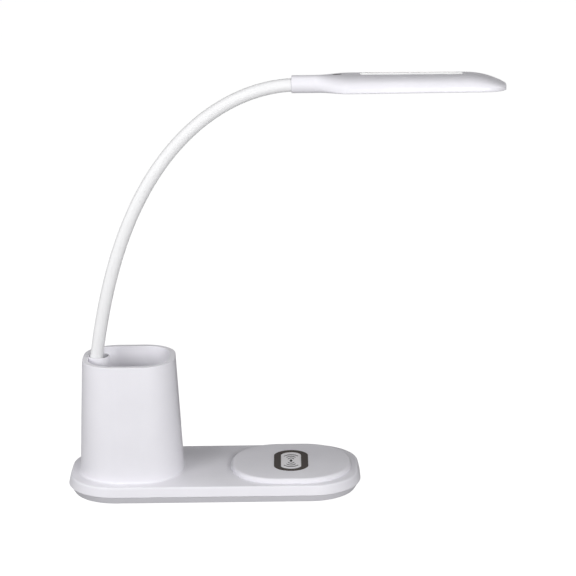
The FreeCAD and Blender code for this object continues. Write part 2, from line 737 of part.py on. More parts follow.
def arm_heading(s):
    """Direction of the arm's centre line above the horizontal, in radians."""
    t = s / ARM_LENGTH
    late = 1 - ARM_CURL_EARLY - ARM_CURL_MIDDLE
    turned = ARM_CURL_EARLY * t + ARM_CURL_MIDDLE * t ** 2 + late * t ** 3
    return math.radians(ARM_START_DEG - (ARM_START_DEG - ARM_END_DEG) * turned)


def arm_point(s, steps=400):
    """Point on the arm's centre line at a distance s from the column's mouth."""
    point = Vector(ARM_START_X, 0, COLUMN_TOP_Z)
    step = s / steps
    for i in range(steps):
        heading = arm_heading((i + 0.5) * step)
        point += Vector(math.cos(heading), 0, math.sin(heading)) * step
    return point


def arm_joint_points():
    """Centres of the arm's ball joints, from the column to the head."""
    pitch = (ARM_LAST_JOINT - ARM_FIRST_JOINT) / (ARM_JOINTS - 1)
    return [arm_point(ARM_FIRST_JOINT + i * pitch) for i in range(ARM_JOINTS)]


def stem_x():
    """The upright stem stands under the arm's first, slanted stretch."""
    lean = math.tan(math.pi / 2 - arm_heading(0))
    return ARM_START_X - STEM_TOP_DROP * lean


def along(shape, start, direction):
    """Move a shape that was built up the Z axis onto a line."""
    moved = shape.copy()
    moved.Placement = FreeCAD.Placement(start, Rotation(Vector(0, 0, 1), direction))
    return moved


def ball_end(shoulder, ball_centre):
    """Neck and drilled ball at the far end of a core, built up the Z axis."""
    neck = rod(NECK_R, shoulder - 0.5, ball_centre)
    ball = Part.makeSphere(BALL_R, Vector(0, 0, ball_centre))
    return [neck, ball]


def core_link(length):
    """Core from its socket at z=0 to the ball at z=length."""
    shoulder = length - SHOULDER_GAP
    body = rod(CORE_R, -SOCKET_SKIRT, shoulder)
    core = fused([body] + ball_end(shoulder, length))
    socket_r = BALL_R + BALL_CLEARANCE
    bore_low = socket_r + SOCKET_ROOF
    cuts = [
        Part.makeSphere(socket_r),
        rod(BALL_BORE_R, 0, length + BALL_R + 1),
        rod(CORE_BORE_R, bore_low, shoulder - SOCKET_ROOF),
    ]
    return core.cut(cuts)


def core_end(length):
    """Last core: a socket at z=0 and a plain end held in the head's neck."""
    body = rod(CORE_R, -SOCKET_SKIRT, length)
    socket_r = BALL_R + BALL_CLEARANCE
    return body.cut([
        Part.makeSphere(socket_r),
        rod(BALL_BORE_R, 0, length + 1),
        rod(CORE_BORE_R, socket_r + SOCKET_ROOF, length + 1),
    ])


def sleeve_tube(low, high, open_mouth):
    """Stretch of sleeve; its far mouth is wide where the next socket swings."""
    sleeve = tube(SLEEVE_R, CORE_R, low, high)
    if open_mouth:
        mouth_low = high + SLEEVE_HALF_GAP - SHOULDER_GAP
        sleeve = sleeve.cut(rod(SLEEVE_MOUTH_R, mouth_low, high + 1))
    return sleeve


def arm_stem():
    """Upright threaded tube, flanged on the base, with the first ball on its slanted top."""
    first = arm_joint_points()[0]
    start = Vector(ARM_START_X, 0, COLUMN_TOP_Z)
    direction = (first - start).normalize()
    length = (first - start).Length
    top_z = COLUMN_TOP_Z - STEM_TOP_DROP
    low_z = TOP_PLATE_UNDER_Z - WASHER_H - NUT_H - STEM_TAIL
    upright = rod(STEM_R, low_z, top_z, stem_x())
    flange = rod(STEM_FLANGE_R, BASE_TOP_Z, BASE_TOP_Z + STEM_FLANGE_H, stem_x())
    sunk = STEM_TOP_DROP / direction.z
    slant_parts = [rod(CORE_R, -sunk, length - SHOULDER_GAP)]
    slant_parts += ball_end(length - SHOULDER_GAP, length)
    slant = along(fused(slant_parts), start, direction)
    stem = fused([upright, flange, slant])
    bore = rod(STEM_BORE_R, low_z - 1, top_z - 2, stem_x())
    slant_bore = along(rod(BALL_BORE_R, -sunk - 3, length + BALL_R + 1), start, direction)
    return stem.cut([bore, slant_bore])


def root_sleeve():
    first = arm_joint_points()[0]
    start = Vector(ARM_START_X, 0, COLUMN_TOP_Z)
    length = (first - start).Length
    sleeve = sleeve_tube(-SLEEVE_DIP, length - SLEEVE_HALF_GAP, True)
    return along(sleeve, start, first - start)


def arm_washer():
    high = TOP_PLATE_UNDER_Z
    return tube(WASHER_R, STEM_R + FIT_CLEARANCE, high - WASHER_H, high, stem_x())


def arm_lock_nut():
    high = TOP_PLATE_UNDER_Z - WASHER_H
    across_corners = NUT_FLATS / math.cos(math.radians(30))
    points = []
    for i in range(7):
        turn = math.radians(60 * i)
        reach = across_corners / 2
        points.append(Vector(stem_x() + reach * math.cos(turn), reach * math.sin(turn), high - NUT_H))
    nut = Part.Face(Part.makePolygon(points)).extrude(Vector(0, 0, NUT_H))
    return nut.cut(rod(STEM_R, high - NUT_H - 1, high + 1, stem_x()))


def base_lead():
    """Lamp lead from the stem's bore to the charger board."""
    board_left = BOARD_X - BOARD_WIDTH / 2
    landing_z = BOARD_Z + BOARD_THICK + LEAD_R
    points = [
        Vector(stem_x(), 0, TOP_PLATE_UNDER_Z),
        Vector(stem_x(), 0, LEAD_RUN_Z),
        Vector(board_left - LEAD_RAMP_START, 0, LEAD_RUN_Z),
        Vector(board_left - LEAD_RAMP_END, 0, landing_z),
        Vector(board_left + LEAD_LAP, 0, landing_z),
    ]
    return round_wire(points, LEAD_BEND_R, LEAD_R)


def arm_parts():
    """Sleeves and cores of the arm's links, by node name."""
    joints = arm_joint_points()
    end = arm_point(ARM_LENGTH)
    nodes = {"arm_sleeve_00": root_sleeve()}
    for number, (centre, following) in enumerate(zip(joints, joints[1:] + [end]), start=1):
        direction = following - centre
        length = direction.Length
        last = number == ARM_JOINTS
        core = core_end(length + CORE_GRIP) if last else core_link(length)
        sleeve_end = length + SLEEVE_GRIP if last else length - SLEEVE_HALF_GAP
        sleeve = sleeve_tube(SLEEVE_HALF_GAP, sleeve_end, not last)
        nodes[f"arm_core_{number:02d}"] = along(core, centre, direction)
        nodes[f"arm_sleeve_{number:02d}"] = along(sleeve, centre, direction)
    return nodes


# ---------------------------------------------------------------- lamp head

def smooth(t):
    t = min(max(t, 0.0), 1.0)
    return t * t * (3 - 2 * t)


def head_corner_centre():
    return HEAD_LENGTH - HEAD_CORNER_R


def head_section(x, inset=0.0, corner_turn=None):
    """Half-width, crest, seam, base and roundness of the head at a place along it."""
    flare = smooth((x - NECK_STRAIGHT) / FLARE_LENGTH)
    body = min(max((x - NECK_STRAIGHT - FLARE_LENGTH)
                   / (HEAD_LENGTH - NECK_STRAIGHT - FLARE_LENGTH), 0.0), 1.0)
    full_width = HEAD_HALF_WIDTH_REAR + (HEAD_HALF_WIDTH_FRONT - HEAD_HALF_WIDTH_REAR) * body
    full_crest = HEAD_CREST_REAR + (HEAD_CREST_FRONT - HEAD_CREST_REAR) * body
    half_width = NECK_OUTER_R + (full_width - NECK_OUTER_R) * flare - inset
    if corner_turn is not None:
        corner_r = HEAD_CORNER_R - inset
        half_width += corner_r * (math.cos(corner_turn) - 1)
    tip = max((x - HEAD_LENGTH + TIP_RUN) / TIP_RUN, 0.0)
    crest = NECK_OUTER_R + (full_crest - NECK_OUTER_R) * flare - TIP_DROP * tip ** 2 - inset
    seam = HEAD_SEAM * flare
    base = -NECK_OUTER_R + (HEAD_BASE + NECK_OUTER_R) * flare + inset
    dome_power = 2 + (DOME_POWER - 2) * flare
    under_power = 2 + (UNDERSIDE_POWER - 2) * flare
    return half_width, crest, min(seam, crest - 0.4), base, dome_power, under_power


def section_wire(x, inset, corner_turn=None, steps=24):
    """Closed section of the head across X: a domed upper half on a flatter lower half."""
    half_width, crest, seam, base, dome_power, under_power = head_section(x, inset, corner_turn)
    points = []
    for i in range(steps):
        turn = 2 * math.pi * i / steps - math.pi / 2
        across = math.cos(turn)
        upward = math.sin(turn)
        power, height = (dome_power, crest - seam) if upward > 0 else (under_power, seam - base)
        y = half_width * math.copysign(abs(across) ** (2 / power), across)
        z = seam + height * math.copysign(abs(upward) ** (2 / power), upward)
        points.append(Vector(x, y, z))
    curve = Part.BSplineCurve()
    knots = [i / steps for i in range(steps + 1)]
    curve.interpolate(Points=points, PeriodicFlag=True, Parameters=knots)
    return Part.Wire([curve.toShape()])


def evenly(first, last, count):
    """Even steps from the first value up to, but without, the last."""
    return [first + (last - first) * i / count for i in range(count)]


def head_body(inset, start):
    """Head form drawn in by an inset, from a place along the neck to the tip."""
    flare_end = NECK_STRAIGHT + FLARE_LENGTH
    corner_start = head_corner_centre()
    stations = evenly(start, NECK_STRAIGHT, 3)
    stations += evenly(NECK_STRAIGHT, flare_end, 6)
    stations += evenly(flare_end, corner_start, 16)
    wires = [section_wire(x, inset) for x in stations]
    corner_r = HEAD_CORNER_R - inset
    for degrees in (0, 15, 30, 44, 57, 69, 80, 88):
        turn = math.radians(degrees)
        wires.append(section_wire(corner_start + corner_r * math.sin(turn), inset, turn))
    return Part.makeLoft(wires, True, False)


def head_place():
    """Where the head's own origin lies on the lamp."""
    end = arm_point(ARM_LENGTH)
    return Vector(end.x, 0, end.z + HEAD_RISE)


def in_head(shape):
    moved = shape.copy()
    moved.translate(head_place())
    return moved


def arm_in_head(radius, depth):
    """Cylinder along the arm's last link, in head coordinates, from outside into the neck."""
    last_joint = arm_joint_points()[-1]
    end = arm_point(ARM_LENGTH)
    direction = (end - last_joint).normalize()
    start = end - head_place() - direction * 6.0
    return along(rod(radius, 0, 6.0 + depth), start, direction)


def below_seam():
    """Everything below the seam, forward of the neck."""
    length = HEAD_LENGTH - LOWER_COVER_START + 2
    width = 3 * HEAD_HALF_WIDTH_REAR
    return block(length, width, 3 * HEAD_BASE, HEAD_SEAM, LOWER_COVER_START + length / 2)


def head_screw_posts():
    """Places of the head's four screws: two behind the light window and two at the tip."""
    rear = (WINDOW_REAR_MARGIN - HEAD_SCREW_FROM_WINDOW, HEAD_HALF_WIDTH_REAR - HEAD_SCREW_REAR_MARGIN)
    front = (HEAD_LENGTH - HEAD_SCREW_FROM_TIP, HEAD_HALF_WIDTH_FRONT - HEAD_SCREW_FRONT_MARGIN)
    return [(x, side * y) for x, y in (rear, front) for side in (-1, 1)]


def clamp_posts():
    """Places of the four posts that hold the LED board down on its frame."""
    half_x = WINDOW_LENGTH / 2 - CLAMP_END_MARGIN
    half_y = WINDOW_WIDTH / 2 - CLAMP_SIDE_MARGIN
    return corners(half_x, half_y, WINDOW_X)


def inlay_prism(clearance):
    return plate(INLAY_LENGTH + 2 * clearance, INLAY_WIDTH + 2 * clearance, INLAY_R + clearance,
                 INLAY_FLOOR, 2 * HEAD_CREST_REAR, INLAY_X)


def key_prism(clearance):
    width = KEY_WIDTH + 2 * clearance
    return plate(KEY_LENGTH + 2 * clearance, width, width / 2, KEY_FLOOR, 2 * HEAD_CREST_REAR, KEY_X)


def led_board_low():
    return HEAD_SEAM + REFLECTOR_H


def head_top_shell(form):
    """Neck and upper shell in one, hollow behind the solid collar."""
    hollow = head_body(HEAD_WALL, COLLAR_SOLID)
    shell = form.cut([hollow, below_seam()])
    board_top = led_board_low() + LED_BOARD_H
    posts = [rod(HEAD_POST_R, HEAD_SEAM, HEAD_CREST_REAR, x, y) for x, y in head_screw_posts()]
    posts += [rod(CLAMP_POST_R, board_top, HEAD_CREST_REAR, x, y) for x, y in clamp_posts()]
    mid_wall = head_body(HEAD_WALL / 2, 0.0)
    for post in posts:
        shell = shell.fuse(post.common(mid_wall))
    screw_seat = HEAD_BASE + HEAD_SCREW_HEAD_H
    cuts = [rod(HEAD_SCREW_R, HEAD_SEAM - 1, screw_seat + HEAD_SCREW_LENGTH, x, y)
            for x, y in head_screw_posts()]
    cuts += [
        arm_in_head(SLEEVE_R + TRIM_CLEARANCE, SLEEVE_GRIP),
        arm_in_head(CORE_R + BALL_CLEARANCE, CORE_GRIP),
        Part.makeCylinder(STEM_BORE_R, 2 * COLLAR_SOLID, Vector(CORE_GRIP - 1, 0, 0), Vector(1, 0, 0)),
        inlay_prism(TRIM_CLEARANCE),
        key_prism(TRIM_CLEARANCE),
        rod(GRUB_R, -2 * NECK_OUTER_R, 0, GRUB_X),
    ]
    for cut in cuts:
        shell = shell.cut(cut)
    return shell


def grub_screw():
    """Set screw under the neck that grips the arm's last core."""
    top = -CORE_R - 0.1
    return rod(GRUB_R, top - GRUB_LENGTH, top, GRUB_X)


def window_plate(extra, low, high):
    return plate(WINDOW_LENGTH + 2 * extra, WINDOW_WIDTH + 2 * extra, WINDOW_R + extra,
                 low, high, WINDOW_X)


def head_lower_cover(form):
    cover = form.common(below_seam())
    rebate_low = HEAD_SEAM - DIFFUSER_FLANGE_H
    screw_seat = HEAD_BASE + HEAD_SCREW_HEAD_H
    cuts = [
        window_plate(0.0, HEAD_BASE - 1, HEAD_SEAM + 1),
        window_plate(DIFFUSER_FLANGE, rebate_low, HEAD_SEAM + 1),
    ]
    cuts += [rod(HEAD_SCREW_R + 0.1, HEAD_BASE - 1, HEAD_SEAM + 1, x, y)
             for x, y in head_screw_posts()]
    cuts += [rod(HEAD_SCREW_HEAD_R + TRIM_CLEARANCE, HEAD_BASE - 1, screw_seat, x, y)
             for x, y in head_screw_posts()]
    return cover.cut(cuts)


def light_diffuser():
    flange = window_plate(DIFFUSER_FLANGE - TRIM_CLEARANCE, HEAD_SEAM - DIFFUSER_FLANGE_H, HEAD_SEAM)
    face = window_plate(-TRIM_CLEARANCE, HEAD_BASE + DIFFUSER_RECESS, HEAD_SEAM - 0.5)
    return fused([flange, face])


def reflector_frame():
    outer = window_plate(DIFFUSER_FLANGE - 1, HEAD_SEAM, led_board_low())
    inner = window_plate(DIFFUSER_FLANGE - 1 - REFLECTOR_WALL, HEAD_SEAM - 1, led_board_low() + 1)
    return outer.cut(inner)


def led_board():
    return window_plate(DIFFUSER_FLANGE - 1, led_board_low(), led_board_low() + LED_BOARD_H)


def led_chips():
    pitch_x = (WINDOW_LENGTH - 2 * LED_END_MARGIN) / (LED_COLUMNS - 1)
    pitch_y = (WINDOW_WIDTH - 2 * LED_SIDE_MARGIN) / (LED_ROWS - 1)
    chips = []
    for column in range(LED_COLUMNS):
        x = WINDOW_X + (column - (LED_COLUMNS - 1) / 2) * pitch_x
        for row in range(LED_ROWS):
            y = (row - (LED_ROWS - 1) / 2) * pitch_y
            chips.append(block(LED_LENGTH, LED_WIDTH, led_board_low() - LED_H, led_board_low(), x, y))
    return Part.makeCompound(chips)


def head_screws():
    sizes = (HEAD_SCREW_R, HEAD_SCREW_LENGTH, HEAD_SCREW_HEAD_R, HEAD_SCREW_HEAD_H)
    seat = HEAD_BASE + HEAD_SCREW_HEAD_H
    return Part.makeCompound([pan_screw(x, y, seat, 1, sizes) for x, y in head_screw_posts()])


def touch_board_top():
    """Upper face of the board, a little under the roof where the roof is lowest over it."""
    rear_x = TOUCH_BOARD_X - TOUCH_BOARD_LENGTH / 2
    half_width, crest, seam, _, dome_power, _ = head_section(rear_x, HEAD_WALL)
    across = TOUCH_BOARD_WIDTH / 2 / half_width
    roof = seam + (crest - seam) * (1 - across ** dome_power) ** (1 / dome_power)
    return roof - TOUCH_BOARD_DROP


def touch_board():
    top = touch_board_top()
    return block(TOUCH_BOARD_LENGTH, TOUCH_BOARD_WIDTH, top - TOUCH_BOARD_H, top, TOUCH_BOARD_X)


def touch_contact_pad():
    """Conductive foam between the touch board and the roof under the key."""
    pad = rod(CONTACT_PAD_R, touch_board_top(), NECK_OUTER_R, KEY_X)
    return pad.common(head_body(HEAD_WALL, COLLAR_SOLID))


def head_lead():
    """Lamp lead from the arm's end to the LED board."""
    board_edge = WINDOW_X - WINDOW_LENGTH / 2 - DIFFUSER_FLANGE + 1
    landing_z = led_board_low() + LED_BOARD_H + LEAD_R
    points = [
        Vector(CORE_GRIP + 0.5, 0, 0),
        Vector(board_edge - LEAD_RAMP_START, 0, 0),
        Vector(board_edge - LEAD_RAMP_END, 0, landing_z),
        Vector(board_edge + LEAD_LAP, 0, landing_z),
    ]
    return round_wire(points, LEAD_BEND_R, LEAD_R)


def head_parts():
    """Pieces of the lamp head, by node name."""
    form = head_body(0.0, 0.0)
    pieces = {
        "head_top_shell": head_top_shell(form),
        "head_lower_cover": head_lower_cover(form),
        "head_top_inlay": form.common(inlay_prism(0.0)),
        "touch_key": form.common(key_prism(0.0)),
        "touch_board": touch_board(),
        "touch_contact_pad": touch_contact_pad(),
        "light_diffuser": light_diffuser(),
        "reflector_frame": reflector_frame(),
        "led_board": led_board(),
        "led_chips": led_chips(),
        "head_screws": head_screws(),
        "arm_grub_screw": grub_screw(),
        "head_lead": head_lead(),
    }
    return {name: in_head(piece) for name, piece in pieces.items()}


# ---------------------------------------------------------------- write

def all_parts():
    nodes = {
        "base_top_shell": base_top_shell(),
        "base_bottom_cover": base_bottom_cover(),
        "anti_slip_ring": anti_slip_ring(),
        "base_screws": base_screws(),
        "ballast_plate": ballast_plate(),
        "charger_board": charger_board(),
        "charger_components": charger_components(),
        "board_screws": board_screws(),
        "power_inlet": power_inlet(),
        "charging_pad_cover": charging_pad_cover(),
        "pad_grip_ring": pad_grip_ring(),
        "pad_symbol_plate": pad_symbol_plate(),
        "charging_coil": charging_coil(),
        "ferrite_sheet": ferrite_sheet(),
        "cup_outer_shell": cup_outer_shell(),
        "cup_liner": cup_liner(),
        "cup_screws": cup_screws(),
        "arm_stem": arm_stem(),
        "arm_washer": arm_washer(),
        "arm_lock_nut": arm_lock_nut(),
        "base_lead": base_lead(),
    }
    nodes.update(arm_parts())
    nodes.update(head_parts())
    return nodes


def main():
    os.makedirs("parts", exist_ok=True)
    for name, shape in all_parts().items():
        shape.exportStep(os.path.join("parts", name + ".step"))
        print(f"{name:22s} solids {len(shape.Solids)} volume {shape.Volume:10.1f} valid {shape.isValid()}")


main()
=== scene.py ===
"""Looks of a white LED desk lamp with a pen cup and a charging pad, built round its frame."""

import json
import logging
import math
from contextlib import contextmanager
from dataclasses import dataclass, field
from enum import Enum
from typing import Callable, Iterable, Iterator, Optional, Sequence

import bmesh
import bpy
from mathutils import Matrix, Vector


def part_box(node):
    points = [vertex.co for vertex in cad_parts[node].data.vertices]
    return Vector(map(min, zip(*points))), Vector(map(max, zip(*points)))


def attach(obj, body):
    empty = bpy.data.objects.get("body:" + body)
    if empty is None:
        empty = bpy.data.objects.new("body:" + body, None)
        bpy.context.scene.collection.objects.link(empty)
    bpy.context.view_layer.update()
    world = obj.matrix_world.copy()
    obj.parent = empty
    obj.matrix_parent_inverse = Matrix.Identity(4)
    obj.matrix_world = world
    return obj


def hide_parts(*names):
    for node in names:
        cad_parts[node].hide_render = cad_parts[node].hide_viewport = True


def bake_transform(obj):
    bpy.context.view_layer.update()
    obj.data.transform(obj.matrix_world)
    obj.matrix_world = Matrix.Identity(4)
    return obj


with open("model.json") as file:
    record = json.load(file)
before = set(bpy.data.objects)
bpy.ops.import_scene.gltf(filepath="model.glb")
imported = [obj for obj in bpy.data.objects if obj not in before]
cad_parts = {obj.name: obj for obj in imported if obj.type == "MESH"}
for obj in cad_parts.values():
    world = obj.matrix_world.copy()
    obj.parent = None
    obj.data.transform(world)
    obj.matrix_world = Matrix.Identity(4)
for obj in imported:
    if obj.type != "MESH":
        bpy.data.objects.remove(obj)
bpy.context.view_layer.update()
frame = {"nodes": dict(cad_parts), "record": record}

logging.basicConfig(level=logging.INFO, format="%(name)s: %(message)s")
log = logging.getLogger("lamp")

# Pieces are modelled in millimetres and brought to metres when they are finished.
MM = 0.001
SMOOTH_ANGLE = math.radians(38)

# Steps in the corner arc of an outline and across a rounded edge.
ARC_STEPS = 24
EDGE_STEPS = 5

# In millimetres: how far a point may lie off the place it is sought at, how far a cutter runs
# past the face that it opens, and the smallest radius that a corner shrinks to.
SLACK = 0.02
PAST = 1.0
LEAST_RADIUS = 0.05

Piece = bpy.types.Object
Material = bpy.types.Material
Node = bpy.types.Node
Tree = bpy.types.NodeTree
Socket = bpy.types.NodeSocket
Pair = tuple[float, float]
Triple = tuple[float, float, float]
Test = Callable[[Vector, Vector], bool]


# -------- sizes from the frame

@dataclass(frozen=True)
class Box:
    """Lowest and highest corners of a node, in millimetres."""

    low: Vector
    high: Vector

    @property
    def middle(self) -> Vector:
        """Centre of the box."""
        return (self.low + self.high) / 2

    @property
    def size(self) -> Vector:
        """Side lengths of the box."""
        return self.high - self.low


def node_box(node: str) -> Box:
    """Box of a node of the frame at rest.

    Args:
        node: Name of the node.

    Returns:
        Its box in millimetres.
    """
    low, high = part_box(node)
    return Box(Vector(low) / MM, Vector(high) / MM)


# -------- modelling by hand

class Join(Enum):
    """Ways of combining two solids."""

    CUT = "DIFFERENCE"
    ADD = "UNION"
    KEEP = "INTERSECT"


@dataclass(frozen=True)
class Outline:
    """Rectangle with round corners, lying flat at one height (mm)."""

    length: float
    depth: float
    radius: float
    height: float = 0.0
    x: float = 0.0
    y: float = 0.0

    def drawn_in(self, inset: float, height: Optional[float] = None) -> "Outline":
        """The same outline, smaller by an inset all round.

        Args:
            inset: Distance between the two outlines; negative to grow.
            height: New height, or None to keep it.

        Returns:
            The new outline.
        """
        level = self.height if height is None else height
        return Outline(
            self.length - 2 * inset, self.depth - 2 * inset,
            max(self.radius - inset, LEAST_RADIUS), level, self.x, self.y,
        )

    @property
    def centre(self) -> Vector:
        """Middle of the outline."""
        return Vector((self.x, self.y, self.height))

    def corner(self, point: Vector) -> Vector:
        """Centre of the corner arc that a point of the outline belongs to."""
        side_x = math.copysign(self.length / 2 - self.radius, point.x - self.x)
        side_y = math.copysign(self.depth / 2 - self.radius, point.y - self.y)
        return Vector((self.x + side_x, self.y + side_y, self.height))

    def holds(self, point: Vector) -> bool:
        """Whether a point lies inside the outline, seen from above."""
        past_x = max(abs(point.x - self.x) - self.length / 2 + self.radius, 0.0)
        past_y = max(abs(point.y - self.y) - self.depth / 2 + self.radius, 0.0)
        return math.hypot(past_x, past_y) < self.radius

    def mapped(self, point: Vector, target: "Outline") -> Vector:
        """Where a point of this outline lies on another outline."""
        outward = point - self.corner(point)
        outward.z = 0.0
        return target.corner(point) + outward.normalized() * target.radius


def select_only(piece: Piece) -> None:
    """Make one object the only selected and active one."""
    bpy.ops.object.select_all(action="DESELECT")
    piece.select_set(True)
    bpy.context.view_layer.objects.active = piece


@contextmanager
def edit_mode(piece: Piece) -> Iterator[None]:
    """Open a piece in edit mode for the length of a block.

    Args:
        piece: The piece to open.

    Returns:
        A context manager.
    """
    select_only(piece)
    bpy.ops.object.mode_set(mode="EDIT")
    try:
        yield
    finally:
        bpy.ops.object.mode_set(mode="OBJECT")


def pick(piece: Piece, kind: str, wanted: Callable[[object], bool]) -> int:
    """Select parts of a piece in edit mode.

    Args:
        piece: The piece that is open in edit mode.
        kind: VERT, EDGE or FACE.
        wanted: Says of a vertex, an edge or a face whether it is wanted.

    Returns:
        How many were picked.
    """
    bpy.ops.mesh.select_mode(type=kind)
    bpy.ops.mesh.select_all(action="DESELECT")
    mesh = bmesh.from_edit_mesh(piece.data)
    elements = {"VERT": mesh.verts, "EDGE": mesh.edges, "FACE": mesh.faces}[kind]
    picked = [element for element in elements if wanted(element)]
    for element in picked:
        element.select_set(True)
    mesh.select_flush_mode()
    bmesh.update_edit_mesh(piece.data)
    return len(picked)


def at_height(height: float) -> Test:
    """A test for edges that lie at one height."""
    return lambda a, b: abs(a.z - height) < SLACK and abs(b.z - height) < SLACK


def is_level(a: Vector, b: Vector) -> bool:
    """Whether both ends of an edge are equally high."""
    return abs(a.z - b.z) < SLACK / 2


def take_new(name: str) -> Piece:
    """Name the primitive that was just added and bring its place into its mesh.

    Args:
        name: Its new name.

    Returns:
        The named piece.
    """
    piece = bpy.context.object
    piece.name = name
    piece.data.name = name
    bpy.ops.object.transform_apply(location=True, rotation=True, scale=True)
    return piece


def start_plate(name: str, outline: Outline, steps: int = ARC_STEPS) -> Piece:
    """Add a flat face with the given outline.

    Args:
        name: Name of the new object.
        outline: Outline of the face.
        steps: Steps in each corner arc.

    Returns:
        The new object, with its place in its mesh.
    """
    bpy.ops.object.select_all(action="DESELECT")
    centre = outline.centre
    bpy.ops.mesh.primitive_plane_add(size=1.0, location=centre)
    piece = take_new(name)
    with edit_mode(piece):
        bpy.ops.mesh.select_all(action="SELECT")
        bpy.ops.transform.resize(
            value=(outline.length, outline.depth, 1.0), center_override=centre
        )
        bpy.ops.mesh.bevel(
            offset_type="OFFSET", offset=outline.radius, segments=steps, profile=0.5,
            affect="VERTICES", clamp_overlap=False,
        )
    return piece


def reshape_rim(piece: Piece, before: Outline, after: Outline) -> None:
    """Move the selected rim of a piece from one outline onto the next.

    Args:
        piece: The piece that is open in edit mode.
        before: Outline that the rim lies on.
        after: Outline that it moves to.
    """
    mesh = bmesh.from_edit_mesh(piece.data)
    for vertex in mesh.verts:
        if vertex.select:
            vertex.co = before.mapped(vertex.co, after)
    bmesh.update_edit_mesh(piece.data)


def stack(
    name: str, outlines: Sequence[Outline], tunnel: bool = False, steps: int = ARC_STEPS
) -> Piece:
    """Extrude a face through a row of outlines into a closed solid.

    Args:
        name: Name of the new object.
        outlines: The outlines in the order in which the wall passes them.
        tunnel: Join the last outline to the first instead of capping both.
        steps: Steps in each corner arc.

    Returns:
        The closed solid.
    """
    piece = start_plate(name, outlines[0], steps)
    with edit_mode(piece):
        bpy.ops.mesh.select_mode(type="FACE")
        bpy.ops.mesh.select_all(action="SELECT")
        for before, after in zip(outlines, outlines[1:]):
            rise = (0.0, 0.0, after.height - before.height)
            bpy.ops.mesh.extrude_region_move(TRANSFORM_OT_translate={"value": rise})
            reshape_rim(piece, before, after)
        if tunnel:
            bpy.ops.mesh.delete(type="ONLY_FACE")
            pick(piece, "FACE", lambda face: is_cap(face, outlines[0]))
            bpy.ops.mesh.delete(type="ONLY_FACE")
            pick(piece, "EDGE", lambda edge: len(edge.link_faces) == 1)
            bpy.ops.mesh.bridge_edge_loops()
        bpy.ops.mesh.select_all(action="SELECT")
        bpy.ops.mesh.normals_make_consistent(inside=False)
    return piece


def is_cap(face: bmesh.types.BMFace, outline: Outline) -> bool:
    """Whether a face lies level and fills an outline."""
    away = face.calc_center_median() - outline.centre
    return abs(face.normal.z) > 0.9 and away.length < SLACK / 2


def slab(name: str, outline: Outline, high: float, steps: int = ARC_STEPS) -> Piece:
    """Upright prism of one outline.

    Args:
        name: Name of the new object.
        outline: Outline of its lower face.
        high: Height of its upper face.
        steps: Steps in each corner arc.

    Returns:
        The prism.
    """
    return stack(name, [outline, outline.drawn_in(0.0, high)], steps=steps)


def round_edges(piece: Piece, test: Test, radius: float, steps: int = EDGE_STEPS) -> None:
    """Round the edges that pass a test.

    Args:
        piece: The piece to change.
        test: Says of an edge's two ends whether it is rounded.
        radius: Width of the rounding.
        steps: Steps across it.
    """
    with edit_mode(piece):
        if pick(piece, "EDGE", lambda edge: test(edge.verts[0].co, edge.verts[1].co)):
            bpy.ops.mesh.bevel(
                offset_type="OFFSET", offset=radius, segments=steps, profile=0.5,
                affect="EDGES", clamp_overlap=True,
            )


def round_sharp_edges(piece: Piece, radius: float, steps: int = 2, angle: float = 50.0) -> None:
    """Soften every sharp edge with a bevel modifier.

    Args:
        piece: The piece to change.
        radius: Width of the rounding.
        steps: Steps across it.
        angle: Edges that turn by more than this, in degrees, are softened.
    """
    select_only(piece)
    bevel = piece.modifiers.new("Soft edges", "BEVEL")
    bevel.width = radius
    bevel.segments = steps
    bevel.limit_method = "ANGLE"
    bevel.angle_limit = math.radians(angle)
    bevel.use_clamp_overlap = True
    bpy.ops.object.modifier_apply(modifier=bevel.name)


def combine(piece: Piece, tool: Piece, how: Join) -> None:
    """Cut, add or keep one solid with another, which is used up.

    Args:
        piece: The solid that stays.
        tool: The solid that is used up.
        how: The way of combining them.
    """
    select_only(piece)
    step = piece.modifiers.new("Combine", "BOOLEAN")
    step.operation = how.value
    step.solver = "EXACT"
    step.object = tool
    bpy.ops.object.modifier_apply(modifier=step.name)
    used = tool.data
    bpy.data.objects.remove(tool)
    bpy.data.meshes.remove(used)


def cylinder(
    name: str, radius: float, low: float, high: float, place: Pair,
    sides: int = 48,
) -> Piece:
    """Upright round bar.

    Args:
        name: Name of the new object.
        radius: Its radius.
        low: Height of its lower end.
        high: Height of its upper end.
        place: Its axis in plan.
        sides: Sides of its section.

    Returns:
        The bar.
    """
    bpy.ops.object.select_all(action="DESELECT")
    bpy.ops.mesh.primitive_cylinder_add(
        vertices=sides, radius=radius, depth=high - low,
        location=(place[0], place[1], (low + high) / 2),
    )
    return take_new(name)


def turned(piece: Piece, degrees: float, axis: str, centre: Vector) -> Piece:
    """Turn a piece's mesh about a point.

    Args:
        piece: The piece to turn.
        degrees: Angle of the turn.
        axis: X, Y or Z.
        centre: Point that stays in place.

    Returns:
        The same piece.
    """
    turn = Matrix.Rotation(math.radians(degrees), 4, axis)
    piece.data.transform(Matrix.Translation(centre) @ turn @ Matrix.Translation(-centre))
    return piece


def shifted(piece: Piece, step: Vector) -> Piece:
    """Move a piece's mesh by a step."""
    piece.data.transform(Matrix.Translation(step))
    return piece


def copied(piece: Piece, name: str, step: Vector) -> Piece:
    """Copy of a piece with its own mesh, moved by a step.

    Args:
        piece: The piece to copy.
        name: Name of the copy.
        step: How far the copy moves.

    Returns:
        The copy.
    """
    twin = bpy.data.objects.new(name, piece.data.copy())
    twin.data.name = name
    bpy.context.scene.collection.objects.link(twin)
    return shifted(twin, step)


